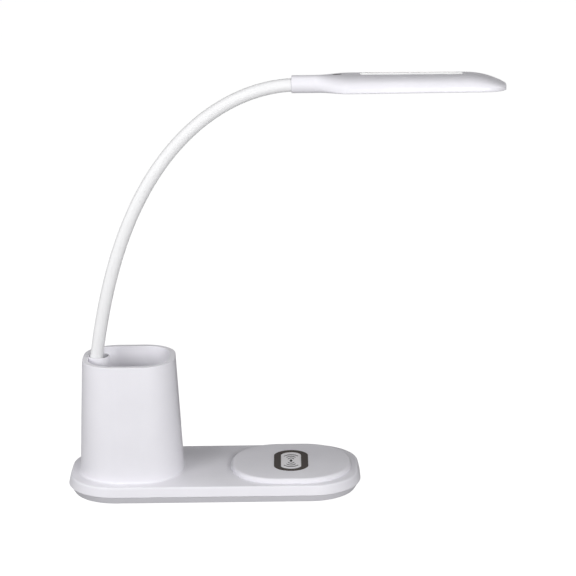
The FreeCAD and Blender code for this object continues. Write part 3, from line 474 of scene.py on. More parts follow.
def joined(name: str, pieces: Sequence[Piece]) -> Piece:
    """Join separate solids into one object.

    Args:
        name: Name of the whole.
        pieces: The solids.

    Returns:
        The joined object.
    """
    bpy.ops.object.select_all(action="DESELECT")
    for piece in pieces:
        piece.select_set(True)
    bpy.context.view_layer.objects.active = pieces[0]
    bpy.ops.object.join()
    whole = bpy.context.object
    whole.name = name
    whole.data.name = name
    return whole


def from_rings(name: str, rings: Sequence[Sequence[Vector]], endless: bool = False) -> Piece:
    """Closed solid whose skin runs through rings of points.

    Args:
        name: Name of the new object.
        rings: Rings with the same number of points each.
        endless: Join the last ring to the first instead of capping both.

    Returns:
        The solid, with its normals outwards.
    """
    mesh = bmesh.new()
    rows = [[mesh.verts.new(point) for point in ring] for ring in rings]
    pairs = list(zip(rows, rows[1:]))
    if endless:
        pairs.append((rows[-1], rows[0]))
    for row, following in pairs:
        for i in range(len(row)):
            j = (i + 1) % len(row)
            mesh.faces.new((row[i], row[j], following[j], following[i]))
    if not endless:
        mesh.faces.new(list(reversed(rows[0])))
        mesh.faces.new(rows[-1])
    bmesh.ops.recalc_face_normals(mesh, faces=mesh.faces)
    data = bpy.data.meshes.new(name)
    mesh.to_mesh(data)
    mesh.free()
    piece = bpy.data.objects.new(name, data)
    bpy.context.scene.collection.objects.link(piece)
    return piece


def smooth_step(t: float) -> float:
    """Ease from 0 to 1."""
    t = min(max(t, 0.0), 1.0)
    return t * t * (3 - 2 * t)


# -------- shader tools

FLOAT = "NodeSocketFloat"
COLOUR = "NodeSocketColor"

RGB = Triple


def grey(level: float) -> RGB:
    """A colour without any hue."""
    return (level, level, level)


def rgba(colour: RGB) -> tuple[float, float, float, float]:
    """A colour with full cover."""
    return (*colour, 1.0)


class Board:
    """A node tree with short ways of adding and feeding nodes."""

    def __init__(self, tree: Tree) -> None:
        """Start with an empty tree."""
        self.tree = tree
        self.tree.nodes.clear()

    def add(
        self, kind: str, feeds: Optional[dict[str | int, object]] = None, **settings: object
    ) -> Node:
        """Add a node.

        Args:
            kind: Its type, such as ShaderNodeMath.
            feeds: What goes into its inputs, by their name or number.
            **settings: Properties of the node, which are set first.

        Returns:
            The node.
        """
        node = self.tree.nodes.new(kind)
        for key, value in settings.items():
            setattr(node, key, value)
        self.supply(node, feeds or {})
        return node

    def supply(self, node: Node, feeds: dict[str | int, object]) -> None:
        """Give inputs of a node a value, or a link where the value is a socket.

        Args:
            node: The node.
            feeds: Values or sockets by the name or number of the input.
        """
        for label, value in feeds.items():
            if isinstance(value, Socket):
                self.tree.links.new(value, node.inputs[label])
            else:
                node.inputs[label].default_value = value

    def place(self) -> Socket:
        """Object coordinates of the surface."""
        return self.add("ShaderNodeTexCoord").outputs["Object"]

    def math(self, operation: str, *values: object) -> Socket:
        """Output of a math node, whose inputs are sockets or numbers in their order."""
        feeds = dict(enumerate(values))
        return self.add("ShaderNodeMath", feeds, operation=operation).outputs[0]

    def blend(self, amount: object, a: object, b: object) -> Socket:
        """Mix two colours.

        Args:
            amount: Share of the second colour, a socket or a number.
            a: First colour, a socket or RGBA.
            b: Second colour, a socket or RGBA.

        Returns:
            The mixed colour.
        """
        factor, first, second, mixed = 0, 6, 7, 2
        node = self.add("ShaderNodeMix", data_type="RGBA")
        self.supply(node, {factor: amount, first: a, second: b})
        return node.outputs[mixed]


def new_group(
    name: str, inputs: Sequence[tuple[str, str, object]], outputs: Sequence[tuple[str, str]]
) -> tuple[Tree, Board, Node, Node]:
    """Start a shader node group with named sockets.

    Args:
        name: Name of the group.
        inputs: Name, socket type and default of each input.
        outputs: Name and socket type of each output.

    Returns:
        The group, its board, its input node and its output node.
    """
    group = bpy.data.node_groups.new(name, "ShaderNodeTree")
    for label, kind, default in inputs:
        socket = group.interface.new_socket(name=label, in_out="INPUT", socket_type=kind)
        socket.default_value = default
    for label, kind in outputs:
        group.interface.new_socket(name=label, in_out="OUTPUT", socket_type=kind)
    board = Board(group)
    return group, board, board.add("NodeGroupInput"), board.add("NodeGroupOutput")


class Groups:
    """Shader node groups that more than one finish uses, each built once."""

    _made: dict[str, Tree] = {}

    @classmethod
    def get(cls, name: str) -> Tree:
        """A group by name, built when it is first wanted.

        Args:
            name: Name of the group.

        Returns:
            The group.
        """
        if name not in cls._made:
            builder = {
                "Mould grain": cls._mould_grain,
                "Soft mottle": cls._soft_mottle,
                "Painted edge highlight": cls._painted_edge_highlight,
                "Brushed lines": cls._brushed_lines,
                "Settled dust": cls._settled_dust,
                "Machine rings": cls._machine_rings,
            }[name]
            cls._made[name] = builder()
        return cls._made[name]

    @staticmethod
    def _mould_grain() -> Tree:
        """Fine spark-eroded texture of a mould, as a height.

        Returns:
            The group.
        """
        pit_share, fine_detail, fine_roughness = 0.45, 3.0, 0.65
        inputs = [("Scale", FLOAT, 900.0), ("Coarse", FLOAT, 0.35)]
        group, board, given, out = new_group("Mould grain", inputs, [("Height", FLOAT)])
        place, scale = board.place(), given.outputs["Scale"]
        fine = board.add("ShaderNodeTexNoise", {
            "Vector": place, "Scale": scale, "Detail": fine_detail, "Roughness": fine_roughness,
        })
        pits = board.add("ShaderNodeTexVoronoi", {
            "Vector": place, "Scale": board.math("MULTIPLY", scale, pit_share),
        })
        deep = board.math("MULTIPLY", pits.outputs["Distance"], given.outputs["Coarse"])
        board.supply(out, {"Height": board.math("ADD", fine.outputs["Fac"], deep)})
        return group

    @staticmethod
    def _soft_mottle() -> Tree:
        """Broad, faint variation of a colour and of a roughness.

        Returns:
            The group.
        """
        detail, low, high = 4.0, 0.32, 0.68
        inputs = [
            ("Colour", COLOUR, rgba(grey(0.8))), ("Other", COLOUR, rgba(grey(0.7))),
            ("Scale", FLOAT, 30.0), ("Roughness", FLOAT, 0.4), ("Spread", FLOAT, 0.05),
        ]
        group, board, given, out = new_group(
            "Soft mottle", inputs, [("Colour", COLOUR), ("Roughness", FLOAT)]
        )
        noise = board.add("ShaderNodeTexNoise", {
            "Vector": board.place(), "Scale": given.outputs["Scale"], "Detail": detail,
        })
        mask = board.add("ShaderNodeMapRange", {
            "Value": noise.outputs["Fac"], "From Min": low, "From Max": high,
        }).outputs["Result"]
        centred = board.math("SUBTRACT", mask, 0.5)
        swing = board.math("MULTIPLY", centred, given.outputs["Spread"])
        board.supply(out, {
            "Colour": board.blend(mask, given.outputs["Colour"], given.outputs["Other"]),
            "Roughness": board.math("ADD", given.outputs["Roughness"], swing),
        })
        return group

    @staticmethod
    def _painted_edge_highlight() -> Tree:
        """Patchy mask of the rounded edges, where a painted highlight lightens the colour.

        Returns:
            The group.
        """
        gain, patch_scale, samples = 9.0, 120.0, 4
        inputs = [("Width", FLOAT, 0.0006), ("Strength", FLOAT, 1.0)]
        group, board, given, out = new_group("Painted edge highlight", inputs, [("Mask", FLOAT)])
        rounded = board.add("ShaderNodeBevel", {"Radius": given.outputs["Width"]}, samples=samples)
        surface = board.add("ShaderNodeNewGeometry")
        alike = board.add("ShaderNodeVectorMath", {
            0: rounded.outputs["Normal"], 1: surface.outputs["Normal"],
        }, operation="DOT_PRODUCT").outputs["Value"]
        raised = board.math("MULTIPLY", board.math("SUBTRACT", 1.0, alike), gain)
        patchy = board.add("ShaderNodeTexNoise", {"Vector": board.place(), "Scale": patch_scale})
        uneven = board.math("MULTIPLY", raised, patchy.outputs["Fac"])
        scaled = board.math("MULTIPLY", uneven, given.outputs["Strength"])
        board.supply(out, {"Mask": board.math("MINIMUM", scaled, 1.0)})
        return group

    @staticmethod
    def _brushed_lines() -> Tree:
        """Drawn or brushed lines along X, for a height and for a mask.

        Returns:
            The group.
        """
        detail = 2.0
        inputs = [("Scale", FLOAT, 400.0), ("Stretch", FLOAT, 0.03)]
        group, board, given, out = new_group("Brushed lines", inputs, [("Lines", FLOAT)])
        apart = board.add("ShaderNodeSeparateXYZ", {0: board.place()})
        drawn_out = board.add("ShaderNodeCombineXYZ", {
            "X": board.math("MULTIPLY", apart.outputs["X"], given.outputs["Stretch"]),
            "Y": apart.outputs["Y"],
            "Z": apart.outputs["Z"],
        })
        noise = board.add("ShaderNodeTexNoise", {
            "Vector": drawn_out.outputs[0], "Scale": given.outputs["Scale"], "Detail": detail,
        })
        board.supply(out, {"Lines": noise.outputs["Fac"]})
        return group

    @staticmethod
    def _settled_dust() -> Tree:
        """Mask of fine dust on faces that look up.

        Returns:
            The group.
        """
        detail = 5.0
        inputs = [("Amount", FLOAT, 0.1), ("Scale", FLOAT, 260.0)]
        group, board, given, out = new_group("Settled dust", inputs, [("Mask", FLOAT)])
        surface = board.add("ShaderNodeNewGeometry")
        apart = board.add("ShaderNodeSeparateXYZ", {0: surface.outputs["Normal"]})
        upward = board.math("MAXIMUM", apart.outputs["Z"], 0.0)
        specks = board.add("ShaderNodeTexNoise", {
            "Vector": board.place(), "Scale": given.outputs["Scale"], "Detail": detail,
        })
        lying = board.math("MULTIPLY", upward, specks.outputs["Fac"])
        board.supply(out, {"Mask": board.math("MULTIPLY", lying, given.outputs["Amount"])})
        return group

    @staticmethod
    def _machine_rings() -> Tree:
        """Even rings round the upright axis of a place, as a mask.

        Returns:
            The group.
        """
        inputs = [("X", FLOAT, 0.0), ("Y", FLOAT, 0.0), ("Pitch", FLOAT, 0.001)]
        group, board, given, out = new_group("Machine rings", inputs, [("Mask", FLOAT)])
        apart = board.add("ShaderNodeSeparateXYZ", {0: board.place()})
        squares = []
        for axis in ("X", "Y"):
            away = board.math("SUBTRACT", apart.outputs[axis], given.outputs[axis])
            squares.append(board.math("MULTIPLY", away, away))
        radius = board.math("SQRT", board.math("ADD", *squares))
        turns = board.math("DIVIDE", radius, given.outputs["Pitch"])
        wave = board.math("SINE", board.math("MULTIPLY", turns, 2 * math.pi))
        board.supply(out, {"Mask": board.math("MULTIPLY_ADD", wave, 0.5, 0.5)})
        return group


def start_material(name: str) -> tuple[Material, Board, Node]:
    """Start a material with a Principled shader.

    Args:
        name: Name of the material.

    Returns:
        The material, its board and its shader.
    """
    material = bpy.data.materials.new(name)
    material.use_nodes = True
    board = Board(material.node_tree)
    shader = board.add("ShaderNodeBsdfPrincipled")
    board.add("ShaderNodeOutputMaterial", {"Surface": shader.outputs["BSDF"]})
    return material, board, shader


def add_group(board: Board, name: str, **values: object) -> Node:
    """Place a shared group in a material.

    Args:
        board: Board of the material.
        name: Name of the group.
        **values: Values of its inputs.

    Returns:
        The group node.
    """
    return board.add("ShaderNodeGroup", values, node_tree=Groups.get(name))


def add_mottle(
    board: Board, colour: RGB, other: RGB, roughness: float, spread: float, **values: object
) -> tuple[Socket, Socket]:
    """Place the soft mottle of two colours in a material.

    Args:
        board: Board of the material.
        colour: First colour.
        other: Second colour.
        roughness: Middle of its roughness.
        spread: How far the roughness varies.
        **values: Values of its other inputs.

    Returns:
        The colour and the roughness that it puts out.
    """
    mottle = add_group(
        board, "Soft mottle", Colour=rgba(colour), Other=rgba(other), Roughness=roughness,
        Spread=spread, **values,
    )
    return mottle.outputs["Colour"], mottle.outputs["Roughness"]


def add_bump(board: Board, shader: Node, height: Socket, depth: float) -> None:
    """Feed a height into a shader's normal.

    Args:
        board: Board of the material.
        shader: The shader.
        height: Socket with the height.
        depth: Depth of the relief in metres.
    """
    bump = board.add("ShaderNodeBump", {"Height": height, "Distance": depth, "Strength": 1.0})
    board.supply(shader, {"Normal": bump.outputs["Normal"]})


# -------- finishes

@dataclass(frozen=True)
class MouldedPlastic:
    """Injection-moulded plastic with fine grain, a painted highlight and lower roughness along its
    edges, and a little dust.
    """

    name: str
    colour: RGB
    shade: RGB
    roughness: float = 0.42
    spread: float = 0.06
    grain_scale: float = 1400.0
    grain_depth: float = 0.000015
    # Strength of the painted highlight along rounded edges, how much it lightens the colour, and
    # how much it lowers the roughness there.
    edge_highlight: float = 0.6
    highlight_gain: float = 1.06
    edge_gloss: float = 0.12
    dust: float = 0.05
    dust_colour: RGB = (0.62, 0.6, 0.57)
    ior: float = 1.49
    coat: float = 0.0
    coat_roughness: float = 0.08

    def build(self) -> Material:
        """Build the material.

        Returns:
            The material.
        """
        material, board, shader = start_material(self.name)
        colour, rough = add_mottle(board, self.colour, self.shade, self.roughness, self.spread)
        # Rounded edges get a painted highlight: the colour is lightened there and the roughness
        # lowered.
        edge_highlight = add_group(board, "Painted edge highlight", Strength=self.edge_highlight).outputs["Mask"]
        dust = add_group(board, "Settled dust", Amount=self.dust).outputs["Mask"]
        lighter = rgba(tuple(min(c * self.highlight_gain, 1.0) for c in self.colour))
        highlighted = board.blend(edge_highlight, colour, lighter)
        smoother = board.math("MULTIPLY", edge_highlight, -self.edge_gloss)
        edge_glossed_roughness = board.math("ADD", rough, smoother)
        board.supply(shader, {
            "Base Color": board.blend(dust, highlighted, rgba(self.dust_colour)),
            "Roughness": board.math("ADD", edge_glossed_roughness, dust),
            "IOR": self.ior,
            "Coat Weight": self.coat,
            "Coat Roughness": self.coat_roughness,
        })
        grain = add_group(board, "Mould grain", Scale=self.grain_scale)
        add_bump(board, shader, grain.outputs["Height"], self.grain_depth)
        return material


@dataclass(frozen=True)
class SoftRubber:
    """Matt elastomer with a soft sheen and lint in its pores."""

    name: str
    colour: RGB
    shade: RGB
    roughness: float = 0.72
    spread: float = 0.1
    patch_scale: float = 60.0
    sheen: float = 0.15
    sheen_roughness: float = 0.5
    grain_scale: float = 2200.0
    grain_coarse: float = 0.6
    grain_depth: float = 0.00002
    lint: float = 0.12
    lint_scale: float = 900.0
    lint_colour: RGB = (0.45, 0.43, 0.4)

    def build(self) -> Material:
        """Build the material.

        Returns:
            The material.
        """
        material, board, shader = start_material(self.name)
        colour, rough = add_mottle(
            board, self.colour, self.shade, self.roughness, self.spread, Scale=self.patch_scale,
        )
        lint = add_group(board, "Settled dust", Amount=self.lint, Scale=self.lint_scale)
        board.supply(shader, {
            "Base Color": board.blend(lint.outputs["Mask"], colour, rgba(self.lint_colour)),
            "Roughness": rough,
            "Sheen Weight": self.sheen,
            "Sheen Roughness": self.sheen_roughness,
        })
        grain = add_group(
            board, "Mould grain", Scale=self.grain_scale, Coarse=self.grain_coarse,
        )
        add_bump(board, shader, grain.outputs["Height"], self.grain_depth)
        return material


@dataclass(frozen=True)
class DrawnMetal:
    """Metal with the lines that drawing, rolling or turning leaves."""

    name: str
    colour: RGB
    shade: RGB
    roughness: float = 0.32
    spread: float = 0.12
    patch_scale: float = 90.0
    line_scale: float = 500.0
    line_depth: float = 0.00002

    def build(self) -> Material:
        """Build the material.

        Returns:
            The material.
        """
        material, board, shader = start_material(self.name)
        lines = add_group(board, "Brushed lines", Scale=self.line_scale).outputs["Lines"]
        colour, rough = add_mottle(
            board, self.colour, self.shade, self.roughness, self.spread, Scale=self.patch_scale,
        )
        board.supply(shader, {
            "Base Color": board.blend(lines, colour, rgba(self.shade)),
            "Roughness": rough,
            "Metallic": 1.0,
        })
        add_bump(board, shader, lines, self.line_depth)
        return material


@dataclass(frozen=True)
class WoundCopper:
    """Enamelled wire wound flat round an upright axis."""

    name: str
    colour: RGB
    gap: RGB
    axis: Pair
    pitch: float
    wire_depth: float = 0.0003
    metallic: float = 0.85
    roughness: float = 0.3
    enamel: float = 0.5

    def build(self) -> Material:
        """Build the material.

        Returns:
            The material.
        """
        material, board, shader = start_material(self.name)
        x, y = self.axis
        rings = add_group(board, "Machine rings", X=x, Y=y, Pitch=self.pitch).outputs["Mask"]
        board.supply(shader, {
            "Base Color": board.blend(rings, rgba(self.gap), rgba(self.colour)),
            "Metallic": self.metallic,
            "Roughness": self.roughness,
            "Coat Weight": self.enamel,
        })
        add_bump(board, shader, rings, self.wire_depth)
        return material


@dataclass(frozen=True)
class CircuitBoard:
    """Solder mask over a field of copper tracks."""

    name: str
    mask: RGB
    track: RGB
    track_scale: float = 140.0
    track_turns: float = 9.0
    track_level: float = 0.55
    track_depth: float = 0.00004
    roughness: float = 0.35
    lacquer: float = 0.4

    def build(self) -> Material:
        """Build the material.

        Returns:
            The material.
        """
        material, board, shader = start_material(self.name)
        cells = board.add("ShaderNodeTexVoronoi", {
            "Vector": board.place(), "Scale": self.track_scale,
        }, distance="MANHATTAN", feature="F1")
        turns = board.math("MULTIPLY", cells.outputs["Distance"], self.track_turns)
        lines = board.math("GREATER_THAN", board.math("SINE", turns), self.track_level)
        board.supply(shader, {
            "Base Color": board.blend(lines, rgba(self.mask), rgba(self.track)),
            "Roughness": self.roughness,
            "Coat Weight": self.lacquer,
        })
        add_bump(board, shader, lines, self.track_depth)
        return material


@dataclass(frozen=True)
class OpalSheet:
    """Milky light diffuser with a field of tiny prisms."""

    name: str
    colour: RGB
    shade_share: float = 0.97
    roughness: float = 0.38
    spread: float = 0.04
    prism_scale: float = 520.0
    prism_depth: float = 0.00012
    milk: float = 0.35
    milk_depth: float = 0.003

    def build(self) -> Material:
        """Build the material.

        Returns:
            The material.
        """
        material, board, shader = start_material(self.name)
        shade = tuple(c * self.shade_share for c in self.colour)
        colour, rough = add_mottle(board, self.colour, shade, self.roughness, self.spread)
        board.supply(shader, {
            "Base Color": colour,
            "Roughness": rough,
            "Subsurface Weight": self.milk,
            "Subsurface Radius": (1.0, 1.0, 1.0),
            "Subsurface Scale": self.milk_depth,
        })
        prisms = board.add("ShaderNodeTexVoronoi", {
            "Vector": board.place(), "Scale": self.prism_scale, "Randomness": 0.0,
        }, distance="CHEBYCHEV")
        add_bump(board, shader, prisms.outputs["Distance"], self.prism_depth)
        return material


@dataclass(frozen=True)
class LedPhosphor:
    """Yellow phosphor lens of an LED, mottled with a darker tone."""

    name: str
    colour: RGB
    rim: RGB
    roughness: float = 0.3
    spread: float = 0.1
    patch_scale: float = 900.0
    grain_scale: float = 3000.0
    grain_depth: float = 0.00003

    def build(self) -> Material:
        """Build the material.

        Returns:
            The material.
        """
        material, board, shader = start_material(self.name)
        colour, rough = add_mottle(
            board, self.colour, self.rim, self.roughness, self.spread, Scale=self.patch_scale,
        )
        board.supply(shader, {"Base Color": colour, "Roughness": rough})
        grain = add_group(board, "Mould grain", Scale=self.grain_scale)
        add_bump(board, shader, grain.outputs["Height"], self.grain_depth)
        return material


WHITE = (0.81, 0.80, 0.845)
WHITE_SHADE = (0.785, 0.775, 0.82)


def build_finishes() -> dict[str, Material]:
    """Build every finish of the lamp.

    Returns:
        The materials by the slot they belong to.
    """
    coil = node_box("charging_coil").middle
    finishes = {
        "white_shell": MouldedPlastic("Satin white shell", WHITE, WHITE_SHADE),
        "arm_silicone": MouldedPlastic(
            "Silicone skin", (0.82, 0.82, 0.83), (0.8, 0.8, 0.81), roughness=0.5,
            grain_scale=2600.0, grain_depth=0.000003, edge_highlight=0.2, dust=0.01,
        ),
        "gloss_inlay": MouldedPlastic(
            "Gloss white inlay", (0.86, 0.86, 0.88), (0.84, 0.84, 0.86), roughness=0.14,
            grain_depth=0.000002, dust=0.02, coat=1.0,
        ),
        "white_trim": MouldedPlastic(
            "White trim", (0.88, 0.86, 0.88), (0.86, 0.84, 0.86), roughness=0.5,
        ),
        "touch_key_grey": MouldedPlastic(
            "Grey key", (0.05, 0.045, 0.047), (0.042, 0.038, 0.04), roughness=0.5,
        ),
        "chip_black": MouldedPlastic(
            "Chip body", (0.02, 0.02, 0.022), grey(0.03), roughness=0.6, edge_highlight=0.1,
        ),
        "ferrite_dark": MouldedPlastic(
            "Ferrite", (0.035, 0.033, 0.032), (0.06, 0.055, 0.05), roughness=0.55, edge_highlight=0.1,
        ),
        "reflector_white": MouldedPlastic(
            "Reflector white", grey(0.85), grey(0.83), roughness=0.3,
        ),
        "led_board_white": CircuitBoard("White LED board", grey(0.8), grey(0.7)),
        "circuit_board": CircuitBoard("Green board", (0.01, 0.09, 0.035), (0.03, 0.2, 0.08)),
        "grip_rubber": SoftRubber(
            "Grip rubber", (0.036, 0.026, 0.022), (0.046, 0.034, 0.029), sheen=0.04, lint=0.03,
        ),
        "foot_rubber": SoftRubber("Foot rubber", (0.22, 0.22, 0.225), (0.18, 0.18, 0.185)),
        "lead_jacket": SoftRubber("Lead jacket", grey(0.5), grey(0.42)),
        "contact_foam": SoftRubber("Contact foam", grey(0.05), grey(0.09)),
        "steel_screws": DrawnMetal("Zinc-plated screws", (0.72, 0.72, 0.73), (0.5, 0.5, 0.52)),
        "ballast_steel": DrawnMetal(
            "Rolled steel", (0.3, 0.3, 0.31), (0.2, 0.2, 0.21), roughness=0.45, line_scale=260.0,
        ),
        "inlet_metal": DrawnMetal(
            "Nickel-plated can", (0.66, 0.66, 0.67), grey(0.5), roughness=0.25,
        ),
        "arm_steel": DrawnMetal(
            "Arm steel", (0.42, 0.42, 0.43), (0.3, 0.3, 0.31), roughness=0.3, line_scale=700.0,
        ),
        "copper_wire": WoundCopper(
            "Wound copper", (0.72, 0.33, 0.16), (0.12, 0.04, 0.02),
            axis=(coil.x * MM, coil.y * MM), pitch=0.0009,
        ),
        "diffuser_opal": OpalSheet("Opal diffuser", (0.86, 0.86, 0.85)),
        "led_phosphor": LedPhosphor("Phosphor lens", (0.85, 0.72, 0.18), (0.7, 0.55, 0.12)),
    }
    return {slot: finish.build() for slot, finish in finishes.items()}


# -------- finishing a piece

class Workshop:
    """Finishes pieces: smooths, scales, dresses and hands them to their body."""

    def __init__(self, materials: dict[str, Material]) -> None:
        """Keep the materials by slot."""
        self.materials = materials

    def finish(
        self, piece: Piece, slot: str, body: str = "root",
        nodes: Iterable[str] = (), angle: float = SMOOTH_ANGLE, even: bool = True,
    ) -> Piece:
        """Finish a piece and let it ride on a body.

        Args:
            piece: The piece, modelled in millimetres.
            slot: Material slot of the record that it belongs to.
            body: Name of the body it rides on, or an empty name to leave it on no body.
            nodes: Nodes of the frame that it stands for.
            angle: Edges that turn by less than this are smooth.
            even: Let broad faces keep their flat shading.

        Returns:
            The finished piece, in metres.
        """
        select_only(piece)
        bpy.ops.object.shade_smooth_by_angle(angle=angle)
        if even:
            weigh = piece.modifiers.new("Even shading", "WEIGHTED_NORMAL")
            weigh.keep_sharp = True
            bpy.ops.object.modifier_apply(modifier=weigh.name)
        piece.scale = (MM, MM, MM)
        bpy.ops.object.transform_apply(location=False, rotation=False, scale=True)
        piece.data.materials.clear()
        piece.data.materials.append(self.materials[slot])
        if body:
            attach(piece, body)
        if nodes:
            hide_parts(*nodes)
        log.info("%s: %d faces, %s", piece.name, len(piece.data.polygons), slot)
        return piece

    def dress_node(self, node: str, slot: str) -> None:
        """Give a node of the frame its finish.

        Args:
            node: Name of the node.
            slot: Material slot of the record.
        """
        piece = frame["nodes"][node]
        for holder in piece.material_slots:
            holder.material = self.materials[slot]
        log.info("%s keeps its shape, %s", node, slot)


# -------- screws

@dataclass(frozen=True)
class PanScrew:
    """Pan-head screw with a cross recess, its head below its seat and its thread above (mm).

    From crown on, the sizes are shares of the head's height or radius, or of the thread's radius.
    """

    radius: float
    length: float
    head_radius: float
    head: float
    crown: float = 0.45
    recess_width: float = 0.24
    recess_length: float = 1.15
    recess_depth: float = 0.6
    recess_taper: float = 0.8
    core: float = 0.82
    pitch: float = 0.33
    lead: float = 0.6
    overlap: float = 0.2
    sides: int = 24

    def build(self, name: str, place: Pair, seat_z: float) -> Piece:
        """Model one screw.

        Args:
            name: Name of the new object.
            place: Its axis in plan.
            seat_z: Height at which the head sits.

        Returns:
            The screw.
        """
        screw = self.pan(name, place, seat_z)
        shank = cylinder(
            "shank", self.radius * self.core, seat_z - self.overlap, seat_z + self.length, place,
            self.sides,
        )
        combine(screw, shank, Join.ADD)
        combine(screw, self.thread(place, seat_z), Join.ADD)
        return screw

    def pan(self, name: str, place: Pair, seat_z: float) -> Piece:
        """Round head with its cross recess.

        Args:
            name: Name of the new object.
            place: Its axis in plan.
            seat_z: Height at which the head sits.

        Returns:
            The head.
        """
        bottom = seat_z - self.head
        head = cylinder(name, self.head_radius, bottom, seat_z, place, 40)
        round_edges(head, at_height(bottom), self.head * self.crown, 4)
        width = self.head_radius * self.recess_width
        length = self.head_radius * self.recess_length
        taper = self.recess_taper
        for across, along in ((length, width), (width, length)):
            recess = stack("recess", [
                Outline(across, along, width * 0.3, bottom - self.overlap, *place),
                Outline(across * taper, along * taper, width * 0.2,
                        bottom + self.head * self.recess_depth, *place),
            ], steps=2)
            combine(head, recess, Join.CUT)
        return head

    def thread(self, place: Pair, seat_z: float) -> Piece:
        """Ridges of the thread.

        Args:
            place: Their axis in plan.
            seat_z: Height at which the head sits.

        Returns:
            The ridges, joined.
        """
        pitch = self.radius * self.pitch
        ridges = []
        for i in range(math.ceil((self.length - self.lead) / pitch) - 1):
            low = seat_z + self.lead + i * pitch
            ridge = cylinder(f"ridge_{i}", self.radius, low, low + pitch * 0.5, place, self.sides)
            round_edges(ridge, is_level, pitch * 0.2, 1)
            ridges.append(ridge)
        return joined("ridges", ridges)

    def build_row(
        self, shop: Workshop, stem: str, places: Sequence[Pair], seat_z: float,
        body: str, node: str,
    ) -> None:
        """Model one screw, copy it to the other places and finish them all.

        Args:
            shop: The workshop that finishes them.
            stem: Start of their names.
            places: Their axes in plan.
            seat_z: Height at which the heads sit.
            body: Name of the body they ride on.
            node: Node of the frame that they stand for.
        """
        first = self.build(f"{stem}_1", places[0], seat_z)
        start = Vector((*places[0], 0.0))
        copies = [copied(first, f"{stem}_{i}", Vector((*place, 0.0)) - start)
                  for i, place in enumerate(places[1:], 2)]
        for screw in [first] + copies:
            shop.finish(screw, "steel_screws", body, [node])


# -------- base

@dataclass
class PowerInlet:
    """Power socket in the rear side: its can, its tongue and the contacts on it (mm)."""

    shop: Workshop
    gap: float = 0.3
    slot_length: float = 12.0
    slot_out: float = 4.0
    can_wall: float = 0.35
    can_edge: float = 0.12
    can_back: float = 1.0
    mouth_out: float = 0.5
    tongue_width: float = 6.9
    tongue_half: float = 0.35
    tongue_radius: float = 0.3
    tongue_edge: float = 0.1
    tongue_short: float = 2.4
    contact: Triple = (0.5, 3.6, 0.1)
    contact_half: float = 0.03
    contact_pitch: float = 0.95
    contact_rise: float = 0.37
    contact_setback: float = 3.2
    contacts_a_side: int = 6

    def __post_init__(self) -> None:
        """Take the place from the frame."""
        self.box = node_box("power_inlet")
        self.middle = self.box.middle

    def build(self) -> None:
        """Build every piece of the inlet."""
        self.can()
        self.tongue()
        self.contacts()

    def bar(self, name: str, grown: float, length: float, out: float, steps: int = 12) -> Piece:
        """Flat-oval bar along Y at the inlet.

        Args:
            name: Name of the new object.
            grown: How much larger it is than the inlet, all round.
            length: Its length along Y.
            out: How far it stands out past the inlet's mouth.
            steps: Steps in each corner arc.

        Returns:
            The bar.
        """
        width = self.box.size.x + 2 * grown
        height = self.box.size.z + 2 * grown
        mouth = Outline(width, height, height / 2 - 0.01, 0.0, self.middle.x, 0.0)
        bar = slab(name, mouth, length, steps)
        turned(bar, 90.0, "X", Vector((self.middle.x, 0.0, 0.0)))
        return shifted(bar, Vector((0.0, self.box.high.y + out, self.middle.z)))

    def slot(self) -> Piece:
        """Cutter for the slot that the upper shell leaves round the inlet."""
        return self.bar("slot", self.gap, self.slot_length, self.slot_out)

    def can(self) -> None:
        """Metal can, open to the rear."""
        can = self.bar("inlet_can", 0.0, self.box.size.y, 0.0, 16)
        mouth_length = self.box.size.y - self.can_back
        mouth = self.bar("mouth", -self.can_wall, mouth_length, self.mouth_out, 16)
        combine(can, mouth, Join.CUT)
        round_sharp_edges(can, self.can_edge, 3)
        self.shop.finish(can, "inlet_metal", nodes=["power_inlet"])

    def tongue(self) -> None:
        """Tongue that carries the contacts."""
        length = self.box.size.y - self.tongue_short
        outline = Outline(
            self.tongue_width, length, self.tongue_radius, self.middle.z - self.tongue_half,
            self.middle.x, self.box.low.y + self.can_back + length / 2,
        )
        tongue = slab("inlet_tongue", outline, self.middle.z + self.tongue_half, 4)
        round_sharp_edges(tongue, self.tongue_edge)
        self.shop.finish(tongue, "chip_black")

    def contacts(self) -> None:
        """Contact strips on both faces of the tongue."""
        y = self.box.high.y - self.contact_setback
        strips = []
        for side in (-1, 1):
            z = self.middle.z + side * self.contact_rise
            for i in range(self.contacts_a_side):
                x = self.middle.x + (i - (self.contacts_a_side - 1) / 2) * self.contact_pitch
                outline = Outline(*self.contact, z - self.contact_half, x, y)
                strips.append(slab(f"contact_{side}_{i}", outline, z + self.contact_half, 2))
        self.shop.finish(joined("inlet_contacts", strips), "inlet_metal")


